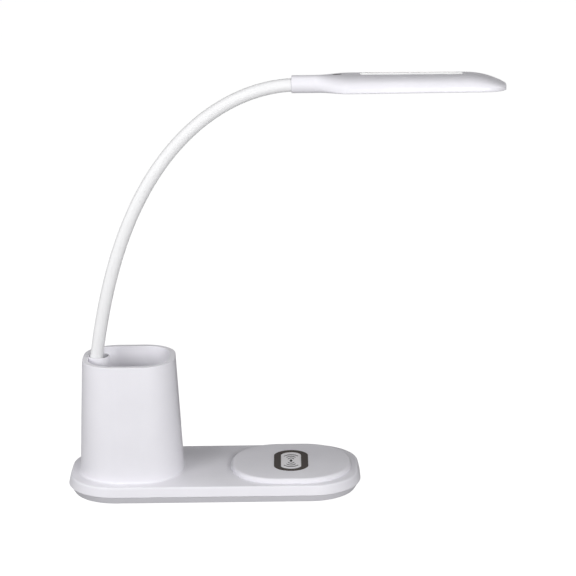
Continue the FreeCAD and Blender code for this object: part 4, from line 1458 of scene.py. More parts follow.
@dataclass
class LampBase:
    """The long base: upper shell, bottom cover, anti-slip ring and screws (mm)."""

    shop: Workshop
    pad: "ChargingPad"
    inlet: PowerInlet
    corner_radius: float = 42.8
    top_inset: float = 1.8
    top_edge: float = 1.5
    wall: float = 2.2
    top_plate: float = 2.4
    seam_z: float = 8.0
    seam_edge: float = 0.2
    seam_groove: float = 0.4
    seam_step: float = 0.5
    bottom_inset: float = 4.85
    cover_wall: float = 2.0
    cover_floor: float = 2.4
    cover_edge: float = 0.7
    ring_margin: float = 9.5
    ring_width: float = 6.0
    ring_seat: float = 0.6
    ring_edge: float = 0.35
    ring_groove: float = 0.35
    fit: float = 0.15
    screw: PanScrew = PanScrew(radius=1.5, length=10.0, head_radius=2.8, head=1.6)
    screw_seat: float = 1.6
    screw_rows: Pair = (82.0, 44.5)

    def __post_init__(self) -> None:
        """Take the overall sizes from the frame."""
        box = node_box("base_top_shell")
        self.top_z = box.high.z
        self.bottom_z = node_box("base_bottom_cover").low.z
        self.rim = Outline(box.size.x, box.size.y, self.corner_radius, self.seam_z)

    def screw_places(self) -> list[Pair]:
        """Places of the six screws that close the base."""
        end_x, side_y = self.screw_rows
        return [(x, y) for x in (-end_x, 0.0, end_x) for y in (-side_y, side_y)]

    def build(self) -> None:
        """Build every piece of the base."""
        self.upper_shell()
        self.bottom_cover()
        self.foot_ring()
        self.screws()

    def inset_at(self, z: float) -> float:
        """How far the upper shell has drawn in at a height."""
        return self.top_inset * (z - self.seam_z) / (self.top_z - self.seam_z)

    def upper_shell(self) -> None:
        """Upper shell, open below, with the pad's aperture and the inlet's slot."""
        ceiling = self.top_z - self.top_plate
        under = self.inset_at(ceiling) + self.wall
        shell = stack("base_upper_casing", [
            self.rim, self.rim.drawn_in(self.top_inset, self.top_z),
        ])
        round_edges(shell, at_height(self.top_z), self.top_edge, 6)
        round_edges(shell, at_height(self.seam_z), self.seam_edge, 2)
        hollow = stack("hollow", [
            self.rim.drawn_in(self.wall, self.seam_z - PAST), self.rim.drawn_in(self.wall),
            self.rim.drawn_in(under, ceiling),
        ])
        combine(shell, hollow, Join.CUT)
        aperture = self.pad.foot.drawn_in(self.pad.spigot_margin - self.fit, ceiling - PAST)
        combine(shell, slab("aperture", aperture, self.top_z + PAST), Join.CUT)
        combine(shell, self.inlet.slot(), Join.CUT)
        self.shop.finish(shell, "white_shell", nodes=["base_top_shell"])

    def bottom_cover(self) -> None:
        """Tray that closes the base from below."""
        rim_z = self.seam_z - self.seam_groove
        floor_z = self.bottom_z + self.cover_floor
        run = (self.bottom_inset - self.seam_step) / (self.seam_z - self.bottom_z)
        rim_inset = self.seam_step + run * self.seam_groove
        floor_inset = self.bottom_inset - run * self.cover_floor + self.cover_wall
        cover = stack("base_underside_cover", [
            self.rim.drawn_in(self.bottom_inset, self.bottom_z),
            self.rim.drawn_in(rim_inset, rim_z),
            self.rim.drawn_in(rim_inset + self.cover_wall, rim_z),
            self.rim.drawn_in(floor_inset, floor_z),
        ])
        round_edges(cover, at_height(self.bottom_z), self.cover_edge, 4)
        seat = self.ring("seat", self.ring_margin, self.ring_width, self.bottom_z - PAST,
                         self.bottom_z + self.ring_seat)
        combine(cover, seat, Join.CUT)
        pocket_radius = self.screw.head_radius + self.fit
        pocket_top = self.bottom_z + self.screw_seat
        for place in self.screw_places():
            pocket = cylinder("pocket", pocket_radius, -PAST, pocket_top, place)
            combine(cover, pocket, Join.CUT)
        self.shop.finish(cover, "white_shell", nodes=["base_bottom_cover"])

    def ring(self, name: str, margin: float, width: float, low: float, high: float) -> Piece:
        """Flat ring that follows the bottom outline.

        Args:
            name: Name of the new object.
            margin: Distance of its outer side from the bottom outline.
            width: Its width.
            low: Height of its lower face.
            high: Height of its upper face.

        Returns:
            The ring.
        """
        outer = self.rim.drawn_in(self.bottom_inset + margin, low)
        inner = outer.drawn_in(width)
        return stack(name, [
            outer, outer.drawn_in(0.0, high), inner.drawn_in(0.0, high), inner,
        ], tunnel=True)

    def foot_ring(self) -> None:
        """Anti-slip ring under the base, with two shallow grooves along it."""
        high = self.bottom_z + self.ring_seat
        ring = self.ring("foot_ring", self.ring_margin, self.ring_width, 0.0, high)
        round_edges(ring, at_height(0.0), self.ring_edge, 3)
        half = self.ring_groove
        for share in (1 / 3, 2 / 3):
            margin = self.ring_margin + self.ring_width * share - half
            groove = self.ring("groove", margin, 2 * half, -PAST / 2, self.ring_groove)
            combine(ring, groove, Join.CUT)
        self.shop.finish(ring, "foot_rubber", nodes=["anti_slip_ring"])

    def screws(self) -> None:
        """Six screws in the bottom cover."""
        seat_z = self.bottom_z + self.screw_seat
        self.screw.build_row(
            self.shop, "base_screw", self.screw_places(), seat_z, "root", "base_screws",
        )


# -------- charging pad

@dataclass
class ChargingPad:
    """Raised charging pad with its grip ring and symbol (mm)."""

    shop: Workshop
    foot_radius: float = 41.5
    foot_edge: float = 0.25
    top_inset: float = 0.6
    edge: float = 2.2
    roof: float = 1.6
    spigot_margin: float = 6.0
    spigot_depth: float = 4.0
    spigot_wall: float = 1.8
    grip_end_radius: float = 15.2
    grip_stroke: float = 6.0
    grip_end_stroke: float = 4.6
    grip_corner: float = 1.6
    grip_corner_fade: float = 0.15
    grip_least_corner: float = 0.4
    grip_edge: float = 0.35
    grip_sides: int = 128
    seat: float = 0.8
    plate_thick: float = 0.7
    print_thick: float = 0.06
    line: Pair = (0.6, 1.5)
    dot: Pair = (1.2, 3.1)
    waves: tuple[Triple, ...] = (
        (3.1, 6.6, 114.0), (5.6, 11.0, 88.0), (9.4, 14.8, 82.0),
    )
    wave_steps: int = 32

    def __post_init__(self) -> None:
        """Take places and overall sizes from the frame."""
        box = node_box("charging_pad_cover")
        self.middle = box.middle
        self.top_z = box.high.z
        self.foot_z = box.low.z + self.spigot_depth
        grip = node_box("pad_grip_ring")
        self.grip_size = grip.size
        self.grip_top = grip.high.z
        self.foot = Outline(
            box.size.x, box.size.y, self.foot_radius, self.foot_z, self.middle.x, self.middle.y,
        )

    def build(self) -> None:
        """Build every piece of the pad."""
        self.cover()
        self.grip_ring()
        self.symbol_plate()
        self.symbol()

    def cover(self) -> None:
        """Raised cover with its spigot."""
        spigot = self.foot.drawn_in(self.spigot_margin)
        low = self.foot_z - self.spigot_depth
        cavity = spigot.drawn_in(self.spigot_wall, low - PAST)
        cover = stack("pad_cover", [
            spigot.drawn_in(0.0, low), spigot, self.foot,
            self.foot.drawn_in(self.top_inset, self.top_z),
        ])
        round_edges(cover, at_height(self.top_z), self.edge, 8)
        round_edges(cover, self.is_foot_edge, self.foot_edge, 2)
        combine(cover, slab("hollow", cavity, self.top_z - self.roof), Join.CUT)
        seat = self.grip_bar("seat", 0.0, 0.0, self.top_z - self.seat, self.top_z + PAST)
        combine(cover, seat, Join.CUT)
        self.shop.finish(cover, "white_shell", nodes=["charging_pad_cover"])

    def is_foot_edge(self, a: Vector, b: Vector) -> bool:
        """Whether an edge is the outer one at the pad's foot."""
        between = self.foot.drawn_in(self.spigot_margin / 2)
        outer = not between.holds(a) and not between.holds(b)
        return outer and at_height(self.foot_z)(a, b)

    def grip_bar(
        self, name: str, side_inset: float, end_inset: float, low: float, high: float
    ) -> Piece:
        """Prism of the grip ring's outline: straight sides and two arc ends.

        Args:
            name: Name of the new object.
            side_inset: Distance inside the ring's outer outline at its sides.
            end_inset: Distance inside it at its ends.
            low: Height of its lower face.
            high: Height of its upper face.

        Returns:
            The prism.
        """
        half = self.grip_size.x / 2 - side_inset
        radius = self.grip_end_radius - side_inset
        shift = self.grip_size.y / 2 - end_inset - radius
        corner = max(self.grip_corner - side_inset * self.grip_corner_fade, self.grip_least_corner)
        centre = Vector((self.middle.x, self.middle.y, low))
        bpy.ops.object.select_all(action="DESELECT")
        bpy.ops.mesh.primitive_circle_add(
            vertices=self.grip_sides, radius=radius, fill_type="NGON", location=centre
        )
        bar = take_new(name)
        with edit_mode(bar):
            for side in (-1, 1):
                bpy.ops.mesh.select_all(action="SELECT")
                bpy.ops.mesh.bisect(
                    plane_co=centre + Vector((side * half, 0, 0)), plane_no=(side, 0, 0),
                    clear_outer=True,
                )
            mesh = bmesh.from_edit_mesh(bar.data)
            for vertex in mesh.verts:
                vertex.co.y += math.copysign(shift, vertex.co.y - centre.y)
            bmesh.update_edit_mesh(bar.data)
            self.soften_corners(bar, half, corner)
            bpy.ops.mesh.select_mode(type="FACE")
            bpy.ops.mesh.select_all(action="SELECT")
            bpy.ops.mesh.extrude_region_move(TRANSFORM_OT_translate={"value": (0, 0, high - low)})
            bpy.ops.mesh.select_all(action="SELECT")
            bpy.ops.mesh.normals_make_consistent(inside=False)
        return bar

    def grip_window(self, name: str, low: float, high: float) -> Piece:
        """Prism of the opening inside the grip ring."""
        return self.grip_bar(name, self.grip_stroke, self.grip_end_stroke, low, high)

    def soften_corners(self, bar: Piece, half: float, radius: float) -> None:
        """Round the four corners where the straight sides meet the arcs.

        Args:
            bar: The outline, open in edit mode.
            half: Half of its width.
            radius: How far the rounding reaches.
        """
        pick(bar, "VERT", lambda point: abs(abs(point.co.x - self.middle.x) - half) < SLACK / 2)
        bpy.ops.mesh.bevel(offset=radius, segments=8, profile=0.5, affect="VERTICES")
        bpy.ops.mesh.select_all(action="SELECT")
        bpy.ops.mesh.remove_doubles(threshold=SLACK)

    def grip_ring(self) -> None:
        """Soft ring that keeps the telephone from sliding."""
        low = self.top_z - self.seat
        ring = self.grip_bar("grip_ring", 0.0, 0.0, low, self.grip_top)
        hole = self.grip_window("hole", low - PAST, self.grip_top + PAST)
        combine(ring, hole, Join.CUT)
        round_edges(ring, at_height(self.grip_top), self.grip_edge, 4)
        self.shop.finish(ring, "grip_rubber", nodes=["pad_grip_ring"])

    def symbol_plate(self) -> None:
        """Light plate inside the ring."""
        low = self.top_z - self.seat
        plate = self.grip_window("symbol_plate", low, low + self.plate_thick)
        self.shop.finish(plate, "white_trim", nodes=["pad_symbol_plate"])

    def symbol(self) -> None:
        """Dot with arcs spreading to front and rear, printed long on the plate."""
        low = self.top_z - self.seat + self.plate_thick
        dot = cylinder("dot", 1.0, low, low + self.print_thick, (0.0, 0.0), self.wave_steps)
        dot.scale = (*self.dot, 1.0)
        dot.location.xy = self.middle.xy
        select_only(dot)
        bpy.ops.object.transform_apply(location=True, rotation=False, scale=True)
        arcs = [
            self.arc((half_width, half_depth), spread, turn, low)
            for half_width, half_depth, spread in self.waves
            for turn in (90.0, 270.0)
        ]
        self.shop.finish(joined("pad_symbol", [dot] + arcs), "touch_key_grey")

    def arc(self, halves: Pair, spread: float, turn: float, low: float) -> Piece:
        """Thin printed arc of an oval round the pad's centre.

        Args:
            halves: Half of the oval's width and depth, at the middle of the line.
            spread: Angle that it covers, in degrees.
            turn: Direction of its middle, in degrees from +X.
            low: Height of its lower face.

        Returns:
            The arc.
        """
        start = math.radians(turn - spread / 2)
        rise = Vector((0.0, 0.0, self.print_thick))
        rings = []
        for i in range(self.wave_steps + 1):
            angle = start + math.radians(spread) * i / self.wave_steps
            across, along = math.cos(angle), math.sin(angle)
            centre = Vector((
                self.middle.x + halves[0] * across, self.middle.y + halves[1] * along, low,
            ))
            side = Vector((self.line[0] * across, self.line[1] * along, 0.0)) / 2
            rings.append([centre - side, centre + side, centre + side + rise, centre - side + rise])
        return from_rings("arc", rings)


# -------- pen cup

@dataclass
class PenCup:
    """Outer shell of the cup and its liner with the arm's column (mm).

    The foot, the rim and the liner's foot are each a length, a depth and a corner radius. The
    column's lip stands a little higher than that of the frame's plain solid.
    """

    shop: Workshop
    foot: Triple = (88.4, 84.0, 36.9)
    rim: Triple = (78.3, 69.2, 27.7)
    wall: float = 2.2
    rim_width: float = 5.0
    rim_edge: float = 0.8
    foot_fillet: float = 1.6
    foot_land: float = 0.02
    fillet_steps: int = 5
    liner_foot: Triple = (62.0, 55.0, 20.0)
    liner_floor: float = 3.5
    liner_wall: float = 1.6
    floor_fillet: float = 2.0
    column: Pair = (-97.2, 1.0)
    column_radius: float = 9.3
    column_edge: float = 0.7
    lip_rise: float = 1.8
    mouth_radius: float = 7.9
    mouth_depth: float = 9.8
    mouth_edge: float = 0.4
    fit: float = 0.15
    corner_steps: int = 32
    round_sides: int = 96

    def __post_init__(self) -> None:
        """Take places from the frame."""
        box = node_box("cup_outer_shell")
        self.low, self.high = box.low.z, box.high.z
        self.x = box.middle.x
        self.column_top = node_box("cup_liner").high.z + self.lip_rise

    def outside(self, z: float, inset: float = 0.0) -> Outline:
        """Outline of the cup's outside at a height, drawn in by an inset."""
        rise = (z - self.low) / (self.high - self.low)
        sizes = [a + (b - a) * rise for a, b in zip(self.foot, self.rim)]
        return Outline(*sizes, z, self.x).drawn_in(inset)

    def inside(self, z: float, outset: float = 0.0) -> Outline:
        """Outline of the liner's inside at a height, grown by an outset.

        Args:
            z: The height.
            outset: How much larger it is, all round.

        Returns:
            The outline.
        """
        low = self.low + self.liner_floor
        rise = (z - low) / (self.high - low)
        length, depth, radius = self.rim
        width = self.rim_width
        mouth = (length - 2 * width, depth - 2 * width, radius - width)
        sizes = [a + (b - a) * rise for a, b in zip(self.liner_foot, mouth)]
        return Outline(*sizes, z, self.x).drawn_in(-outset)

    def bar(self, name: str, radius: float, low: float, high: float) -> Piece:
        """Round bar on the column's axis."""
        return cylinder(name, radius, low, high, self.column, self.round_sides)

    def build(self) -> None:
        """Build both pieces."""
        self.outer_shell()
        self.liner()

    def outer_shell(self) -> None:
        """Drafted shell with a broad rim and a small hollow fillet at its foot."""
        lip = self.high - self.wall
        fillet = []
        for i in range(self.fillet_steps + 1):
            turn = math.radians(90.0 * i / self.fillet_steps)
            out = self.foot_fillet * (1 - math.sin(turn))
            z = self.low + self.foot_land + self.foot_fillet * (1 - math.cos(turn))
            fillet.append(self.outside(z, -out))
        shell = stack("cup_casing", [
            fillet[0].drawn_in(0.0, self.low), *fillet, self.outside(self.high),
            self.inside(self.high), self.inside(lip), self.outside(lip, self.wall),
            self.outside(self.low, self.wall),
        ], tunnel=True, steps=self.corner_steps)
        round_edges(shell, at_height(self.high), self.rim_edge, 5)
        hole_radius = self.column_radius + self.fit
        hole = self.bar("hole", hole_radius, lip - PAST, self.column_top + 3 * PAST)
        combine(shell, hole, Join.CUT)
        self.shop.finish(shell, "white_shell", nodes=["cup_outer_shell"])

    def liner(self) -> None:
        """Inner cup with a floor, and the column that the arm stands in."""
        lip = self.high - self.wall
        floor_z = self.low + self.liner_floor
        liner = stack("cup_inner_liner", [
            self.inside(self.low, self.liner_wall), self.inside(lip, self.liner_wall),
            self.inside(lip), self.inside(floor_z),
        ], steps=self.corner_steps)
        round_edges(liner, at_height(floor_z), self.floor_fillet, 5)
        column = self.bar("column", self.column_radius, self.low, self.column_top)
        round_edges(column, at_height(self.column_top), self.column_edge, 4)
        mouth_floor = self.column_top - self.mouth_depth
        mouth = self.bar("mouth", self.mouth_radius, mouth_floor, self.column_top + PAST)
        combine(column, mouth, Join.CUT)
        round_edges(column, self.is_mouth_edge, self.mouth_edge, 3)
        combine(liner, column, Join.ADD)
        self.shop.finish(liner, "white_shell", nodes=["cup_liner"])

    def is_mouth_edge(self, a: Vector, b: Vector) -> bool:
        """Whether an edge runs round the column's mouth at its top.

        Args:
            a: One end of the edge.
            b: Its other end.

        Returns:
            True for the edges of the mouth.
        """
        centre = Vector(self.column)
        between = (self.mouth_radius + self.column_radius - self.column_edge) / 2
        near = all((p.xy - centre).length < between for p in (a, b))
        return near and at_height(self.column_top)(a, b)


# -------- arm

@dataclass
class Gooseneck:
    """Flexible arm: its centre line and the skin over its links (mm).

    Distances count along the centre line from the column's mouth. The skin dips into the mouth
    and is gripped by the head's neck. The curl gives the shares of the whole turn that grow with
    the distance, its square and its cube.
    """

    shop: Workshop
    start_x: float = -98.9
    start_z: float = 114.3
    length: float = 310.0
    start_deg: float = 81.6
    end_deg: float = 2.0
    curl: Triple = (0.305, 0.304, 0.391)
    joints: int = 12
    first_joint: float = 13.0
    last_joint: float = 294.6
    skin_radius: float = 5.5
    bore_radius: float = 4.7
    dip: float = 2.0
    grip: float = 5.0
    rings: int = 17
    sides: int = 48
    line_steps: int = 400
    stiff_joint: int = 11
    turned_joints: tuple[int, ...] = (3, 12)
    collar_radius: float = 5.35
    collar_half: float = 2.0
    collar_steps: int = 8

    def heading(self, s: float) -> float:
        """Direction of the centre line above the horizontal, in radians."""
        t = s / self.length
        turned_by = sum(share * t ** (i + 1) for i, share in enumerate(self.curl))
        return math.radians(self.start_deg - (self.start_deg - self.end_deg) * turned_by)

    def point(self, s: float) -> Vector:
        """Point on the centre line at a distance from the column's mouth.

        Args:
            s: The distance.

        Returns:
            The point.
        """
        point = Vector((self.start_x, 0.0, self.start_z))
        step = s / self.line_steps
        for i in range(self.line_steps):
            heading = self.heading((i + 0.5) * step)
            point += Vector((math.cos(heading), 0.0, math.sin(heading))) * step
        return point

    def ring(self, s: float, radius: float) -> list[Vector]:
        """Circle of points round the centre line.

        Args:
            s: Distance from the column's mouth.
            radius: Radius of the circle.

        Returns:
            The points.
        """
        heading = self.heading(s)
        centre = self.point(s)
        across = Vector((0.0, 1.0, 0.0))
        upward = Vector((-math.sin(heading), 0.0, math.cos(heading)))
        turns = [2 * math.pi * i / self.sides for i in range(self.sides)]
        return [centre + (across * math.cos(a) + upward * math.sin(a)) * radius for a in turns]

    def joint_place(self, number: float) -> float:
        """Distance of a joint, counted from 1, or of a place between two joints."""
        pitch = (self.last_joint - self.first_joint) / (self.joints - 1)
        return self.first_joint + (number - 1) * pitch

    def build(self) -> None:
        """Build the skin as one sleeve per joint, each baked in place round its own joint.

        One joint has no sleeve of its own: its two neighbours meet over a round collar there. Each
        sleeve's near and far bodies, start and end are worked out, swapped for two sleeves, but not
        used: the sleeves ride on no body.
        """
        bodies = ["root"] + [f"arm_link_{i:02d}" for i in range(1, self.joints)] + ["lamp_head"]
        for number in range(1, self.joints + 1):
            if number == self.stiff_joint:
                continue
            sleeve = self.sleeve(number)
            near, far = bodies[number - 1], bodies[number]
            start = tuple(self.point(self.joint_place(number - 0.5)) * MM)
            end = tuple(self.point(self.joint_place(number + 0.5)) * MM)
            if number in self.turned_joints:
                near, far, start, end = far, near, end, start
            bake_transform(sleeve)
        self.collar(bodies[self.stiff_joint - 1])

    def sleeve(self, number: int) -> Piece:
        """One length of the silicone skin, round one joint.

        Args:
            number: Number of the joint, from 1.

        Returns:
            The finished sleeve, not yet on a body.
        """
        first, last = self.joint_place(number - 0.5), self.joint_place(number + 0.5)
        nodes = [f"arm_sleeve_{number:02d}"]
        if number == 1:
            first = -self.dip
            nodes.append("arm_sleeve_00")
        if number == self.joints:
            last = self.length + self.grip
        if number == self.stiff_joint - 1:
            last = self.joint_place(self.stiff_joint)
            nodes.append(f"arm_sleeve_{self.stiff_joint:02d}")
        if number == self.stiff_joint + 1:
            first = self.joint_place(self.stiff_joint)
        stations = [first + (last - first) * i / (self.rings - 1) for i in range(self.rings)]
        skin = [self.ring(s, self.skin_radius) for s in stations]
        skin += [self.ring(s, self.bore_radius) for s in reversed(stations)]
        sleeve = from_rings(f"arm_skin_{number:02d}", skin, endless=True)
        return self.shop.finish(sleeve, "arm_silicone", body="", nodes=nodes, even=False)

    def collar(self, body: str) -> None:
        """Round collar inside the skin, where two sleeves meet at the stiff joint.

        Args:
            body: Name of the body it rides on.
        """
        middle = self.joint_place(self.stiff_joint)
        skin, bore = [], []
        for i in range(self.collar_steps + 1):
            away = self.collar_half * (2 * i / self.collar_steps - 1)
            skin.append(self.ring(middle + away, math.sqrt(self.collar_radius ** 2 - away ** 2)))
            bore.append(self.ring(middle + away, self.bore_radius))
        collar = from_rings("arm_skin_collar", skin + bore[::-1], endless=True)
        self.shop.finish(collar, "arm_silicone", body=body, even=False)


# -------- lamp head

@dataclass
class LampHead:
    """The lamp head: shells, inlay, touch key, diffuser and screws (mm).

    Places along the head count from the end of its neck, heights from its axis. Where half_width
    and crest have two values, they are those behind the flare and at the tip. The window and the
    inlay are each a start, an end, a width and a corner radius; the key is a middle, a length
    and a width.
    """

    shop: Workshop
    arm: Gooseneck
    rise: float = 0.6
    length: float = 175.5
    neck_radius: float = 7.3
    neck: float = 18.0
    flare: float = 28.0
    half_width: Pair = (26.0, 24.2)
    crest: Pair = (7.9, 7.4)
    base: float = -5.3
    seam: float = -3.0
    least_dome: float = 0.4
    corner_radius: float = 18.0
    tip_run: float = 32.5
    tip_drop: float = 8.4
    dome_power: float = 2.6
    under_power: float = 6.0
    wall: float = 2.0
    collar: float = 14.0
    neck_edge: float = 0.5
    cover_start: float = 22.0
    window: tuple[float, float, float, float] = (50.0, 154.0, 34.2, 6.0)
    flange: float = 3.0
    flange_thick: float = 1.0
    window_edge: float = 0.25
    recess: float = 0.2
    inlay: tuple[float, float, float, float] = (56.3, 140.3, 13.2, 5.0)
    inlay_floor: float = 6.5
    key: Triple = (37.5, 7.5, 4.0)
    key_floor: float = 6.3
    trim_gap: float = 0.1
    trim_edge: float = 0.15
    screw: PanScrew = PanScrew(radius=1.0, length=4.0, head_radius=1.9, head=1.0)
    screw_seat: float = 1.0
    screw_pocket: float = 2.0
    screw_places: tuple[Pair, ...] = (
        (43.0, -12.5), (43.0, 12.5), (165.5, -10.0), (165.5, 10.0),
    )
    section_points: int = 96
    neck_steps: int = 4
    flare_steps: int = 24
    body_steps: int = 40
    tip_degrees: int = 4
    origin: Vector = field(init=False)

    def __post_init__(self) -> None:
        """Place the head at the end of the arm."""
        self.origin = self.arm.point(self.arm.length) + Vector((0.0, 0.0, self.rise))

    def section(self, x: float, inset: float, turn: Optional[float] = None) -> list[Vector]:
        """Points round the head at a place along it.

        Args:
            x: Distance from the end of the neck.
            inset: Distance inside the outer form.
            turn: How far round the corner arc the section lies, in radians.

        Returns:
            The points, from the bottom round.
        """
        flare = smooth_step((x - self.neck) / self.flare)
        run = self.length - self.neck - self.flare
        along = min(max((x - self.neck - self.flare) / run, 0.0), 1.0)
        full_width = self.half_width[0] + (self.half_width[1] - self.half_width[0]) * along
        full_crest = self.crest[0] + (self.crest[1] - self.crest[0]) * along
        width = self.neck_radius + (full_width - self.neck_radius) * flare - inset
        if turn is not None:
            width += (self.corner_radius - inset) * (math.cos(turn) - 1)
        tip = max((x - self.length + self.tip_run) / self.tip_run, 0.0)
        crest = self.neck_radius + (full_crest - self.neck_radius) * flare
        crest -= self.tip_drop * tip ** 2 + inset
        base = -self.neck_radius + (self.base + self.neck_radius) * flare + inset
        seam = min(self.seam * flare, crest - self.least_dome)
        powers = (2 + (self.dome_power - 2) * flare, 2 + (self.under_power - 2) * flare)
        points = []
        for i in range(self.section_points):
            angle = 2 * math.pi * i / self.section_points - math.pi / 2
            across, upward = math.cos(angle), math.sin(angle)
            power, height = (powers[0], crest - seam) if upward > 0 else (powers[1], seam - base)
            y = width * math.copysign(abs(across) ** (2 / power), across)
            z = seam + height * math.copysign(abs(upward) ** (2 / power), upward)
            points.append(self.origin + Vector((x, y, z)))
        return points

    def form(self, name: str, inset: float, start: float) -> Piece:
        """Whole form of the head, drawn in by an inset.

        Args:
            name: Name of the new object.
            inset: Distance inside the outer form.
            start: Where along the neck it begins.

        Returns:
            The closed form.
        """
        corner_start = self.length - self.corner_radius
        ends = (start, self.neck, self.neck + self.flare, corner_start)
        counts = (self.neck_steps, self.flare_steps, self.body_steps)
        rings = []
        for first, last, count in zip(ends, ends[1:], counts):
            rings += [self.section(first + (last - first) * i / count, inset) for i in range(count)]
        for degrees in range(0, 90, self.tip_degrees):
            turn = math.radians(degrees)
            x = corner_start + (self.corner_radius - inset) * math.sin(turn)
            rings.append(self.section(x, inset, turn))
        return from_rings(name, rings)

    def plate(
        self, name: str, span: Pair, width: float, radius: float,
        low: float, high: float, steps: int = 12,
    ) -> Piece:
        """Round-cornered plate in the head's own frame.

        Args:
            name: Name of the new object.
            span: Where it begins and ends along the head.
            width: Its width across the head.
            radius: Radius of its corners.
            low: Height of its lower face.
            high: Height of its upper face.
            steps: Steps in each corner arc.

        Returns:
            The plate.
        """
        start, end = span
        outline = Outline(
            end - start, width, radius, self.origin.z + low,
            self.origin.x + (start + end) / 2, self.origin.y,
        )
        return slab(name, outline, self.origin.z + high, steps)

    def below_seam(self, name: str) -> Piece:
        """Everything below the seam, forward of the neck."""
        span = (self.cover_start, self.length + 4 * PAST)
        return self.plate(name, span, 90.0, 0.5, 3 * self.base, self.seam, 2)

    def build(self) -> None:
        """Build every piece of the head."""
        self.top_shell()
        self.lower_cover()
        self.top_inlay()
        self.touch_key()
        self.diffuser()
        self.screws()

    def window_plate(self, name: str, extra: float, low: float, high: float) -> Piece:
        """Plate with the light window's outline, grown by an extra.

        Args:
            name: Name of the new object.
            extra: How much larger it is, all round.
            low: Height of its lower face.
            high: Height of its upper face.

        Returns:
            The plate.
        """
        start, end, width, radius = self.window
        return self.plate(name, (start - extra, end + extra), width + 2 * extra, radius + extra,
                          low, high)

    def inlay_plate(self, name: str, gap: float) -> Piece:
        """Tall plate with the inlay's outline, grown by a gap."""
        start, end, width, radius = self.inlay
        return self.plate(name, (start - gap, end + gap), width + 2 * gap, radius + gap,
                          self.inlay_floor, 2 * self.crest[0])

    def key_plate(self, name: str, gap: float) -> Piece:
        """Tall plate with the touch key's outline, grown by a gap."""
        middle, length, width = self.key
        half = length / 2 + gap
        return self.plate(name, (middle - half, middle + half), width + 2 * gap,
                          width / 2 + gap - 0.02, self.key_floor, 2 * self.crest[0])

    def top_shell(self) -> None:
        """Neck and upper shell in one."""
        shell = self.form("head_upper_shell", 0.0, 0.0)
        combine(shell, self.form("hollow", self.wall, self.collar), Join.CUT)
        combine(shell, self.below_seam("below"), Join.CUT)
        combine(shell, self.inlay_plate("inlay", self.trim_gap), Join.CUT)
        combine(shell, self.key_plate("key", self.trim_gap), Join.CUT)
        bore_radius = self.arm.skin_radius + self.trim_gap
        bore = cylinder("bore", bore_radius, -PAST, self.arm.grip, (0.0, 0.0))
        combine(shell, self.laid(bore), Join.CUT)
        round_edges(shell, self.is_neck_edge, self.neck_edge, 4)
        self.shop.finish(shell, "white_shell", "lamp_head", ["head_top_shell"])

    def laid(self, bar: Piece) -> Piece:
        """Lay an upright bar along the head's own axis, from the end of its neck."""
        turned(bar, 90.0, "Y", Vector((0.0, 0.0, 0.0)))
        return shifted(bar, self.origin)

    def is_neck_edge(self, a: Vector, b: Vector) -> bool:
        """Whether an edge runs round the outside of the neck's end.

        Args:
            a: One end of the edge.
            b: Its other end.

        Returns:
            True for the edges of the neck's end.
        """
        between = (self.neck_radius + self.arm.skin_radius) / 2
        at_end = all(abs(p.x - self.origin.x) < SLACK for p in (a, b))
        outer = all((p - self.origin).yz.length > between for p in (a, b))
        return at_end and outer

    def lower_cover(self) -> None:
        """Frame under the head with the light window and the screw pockets."""
        cover = self.form("head_under_cover", 0.0, 0.0)
        combine(cover, self.below_seam("below"), Join.KEEP)
        above = self.seam + PAST
        rebate_low = self.seam - self.flange_thick
        combine(cover, self.window_plate("window", 0.0, self.base - PAST, above), Join.CUT)
        combine(cover, self.window_plate("rebate", self.flange, rebate_low, above), Join.CUT)
        seat_z, places = self.screw_seats()
        for place in places:
            pocket = cylinder("pocket", self.screw_pocket, seat_z - 3 * PAST, seat_z, place)
            combine(cover, pocket, Join.CUT)
        self.shop.finish(cover, "white_shell", "lamp_head", ["head_lower_cover"])

    def top_inlay(self) -> None:
        """Gloss strip set flush in the crest."""
        strip = self.form("head_gloss_inlay", 0.0, 0.0)
        combine(strip, self.inlay_plate("keep", 0.0), Join.KEEP)
        round_sharp_edges(strip, self.trim_edge)
        self.shop.finish(strip, "gloss_inlay", "lamp_head", ["head_top_inlay"])

    def touch_key(self) -> None:
        """Touch key set in the neck."""
        key = self.form("head_touch_key", 0.0, 0.0)
        combine(key, self.key_plate("keep", 0.0), Join.KEEP)
        round_sharp_edges(key, self.trim_edge)
        self.shop.finish(key, "touch_key_grey", "lamp_head", ["touch_key"])

    def diffuser(self) -> None:
        """Opal sheet with its flange."""
        gap = self.trim_gap
        low = self.base + self.recess
        rim_low = self.seam - self.flange_thick
        sheet = self.window_plate("light_window", -gap, low, rim_low + self.flange_thick / 2)
        round_edges(sheet, at_height(self.origin.z + low), self.window_edge, 3)
        rim = self.window_plate("rim", self.flange - gap, rim_low, self.seam)
        combine(sheet, rim, Join.ADD)
        self.shop.finish(sheet, "diffuser_opal", "lamp_head", ["light_diffuser"])

    def screw_seats(self) -> tuple[float, list[Pair]]:
        """Height of the screws' seats and the screws' places in plan."""
        places = [(self.origin.x + x, self.origin.y + y) for x, y in self.screw_places]
        return self.origin.z + self.base + self.screw_seat, places

    def screws(self) -> None:
        """Four small screws that close the head."""
        seat_z, places = self.screw_seats()
        self.screw.build_row(self.shop, "head_screw", places, seat_z, "lamp_head", "head_screws")


# -------- inner pieces

@dataclass
class InnerPieces:
    """Nodes of the frame that keep their shape and only get their finish."""

    shop: Workshop

    def build(self) -> None:
        """Dress every node by its slot in the record."""
        slots = {part["node"]: part["material_slot"] for part in frame["record"]["subparts"]}
        for name, piece in frame["nodes"].items():
            if not piece.hide_render:
                self.shop.dress_node(name, slots[name])


# -------- studio

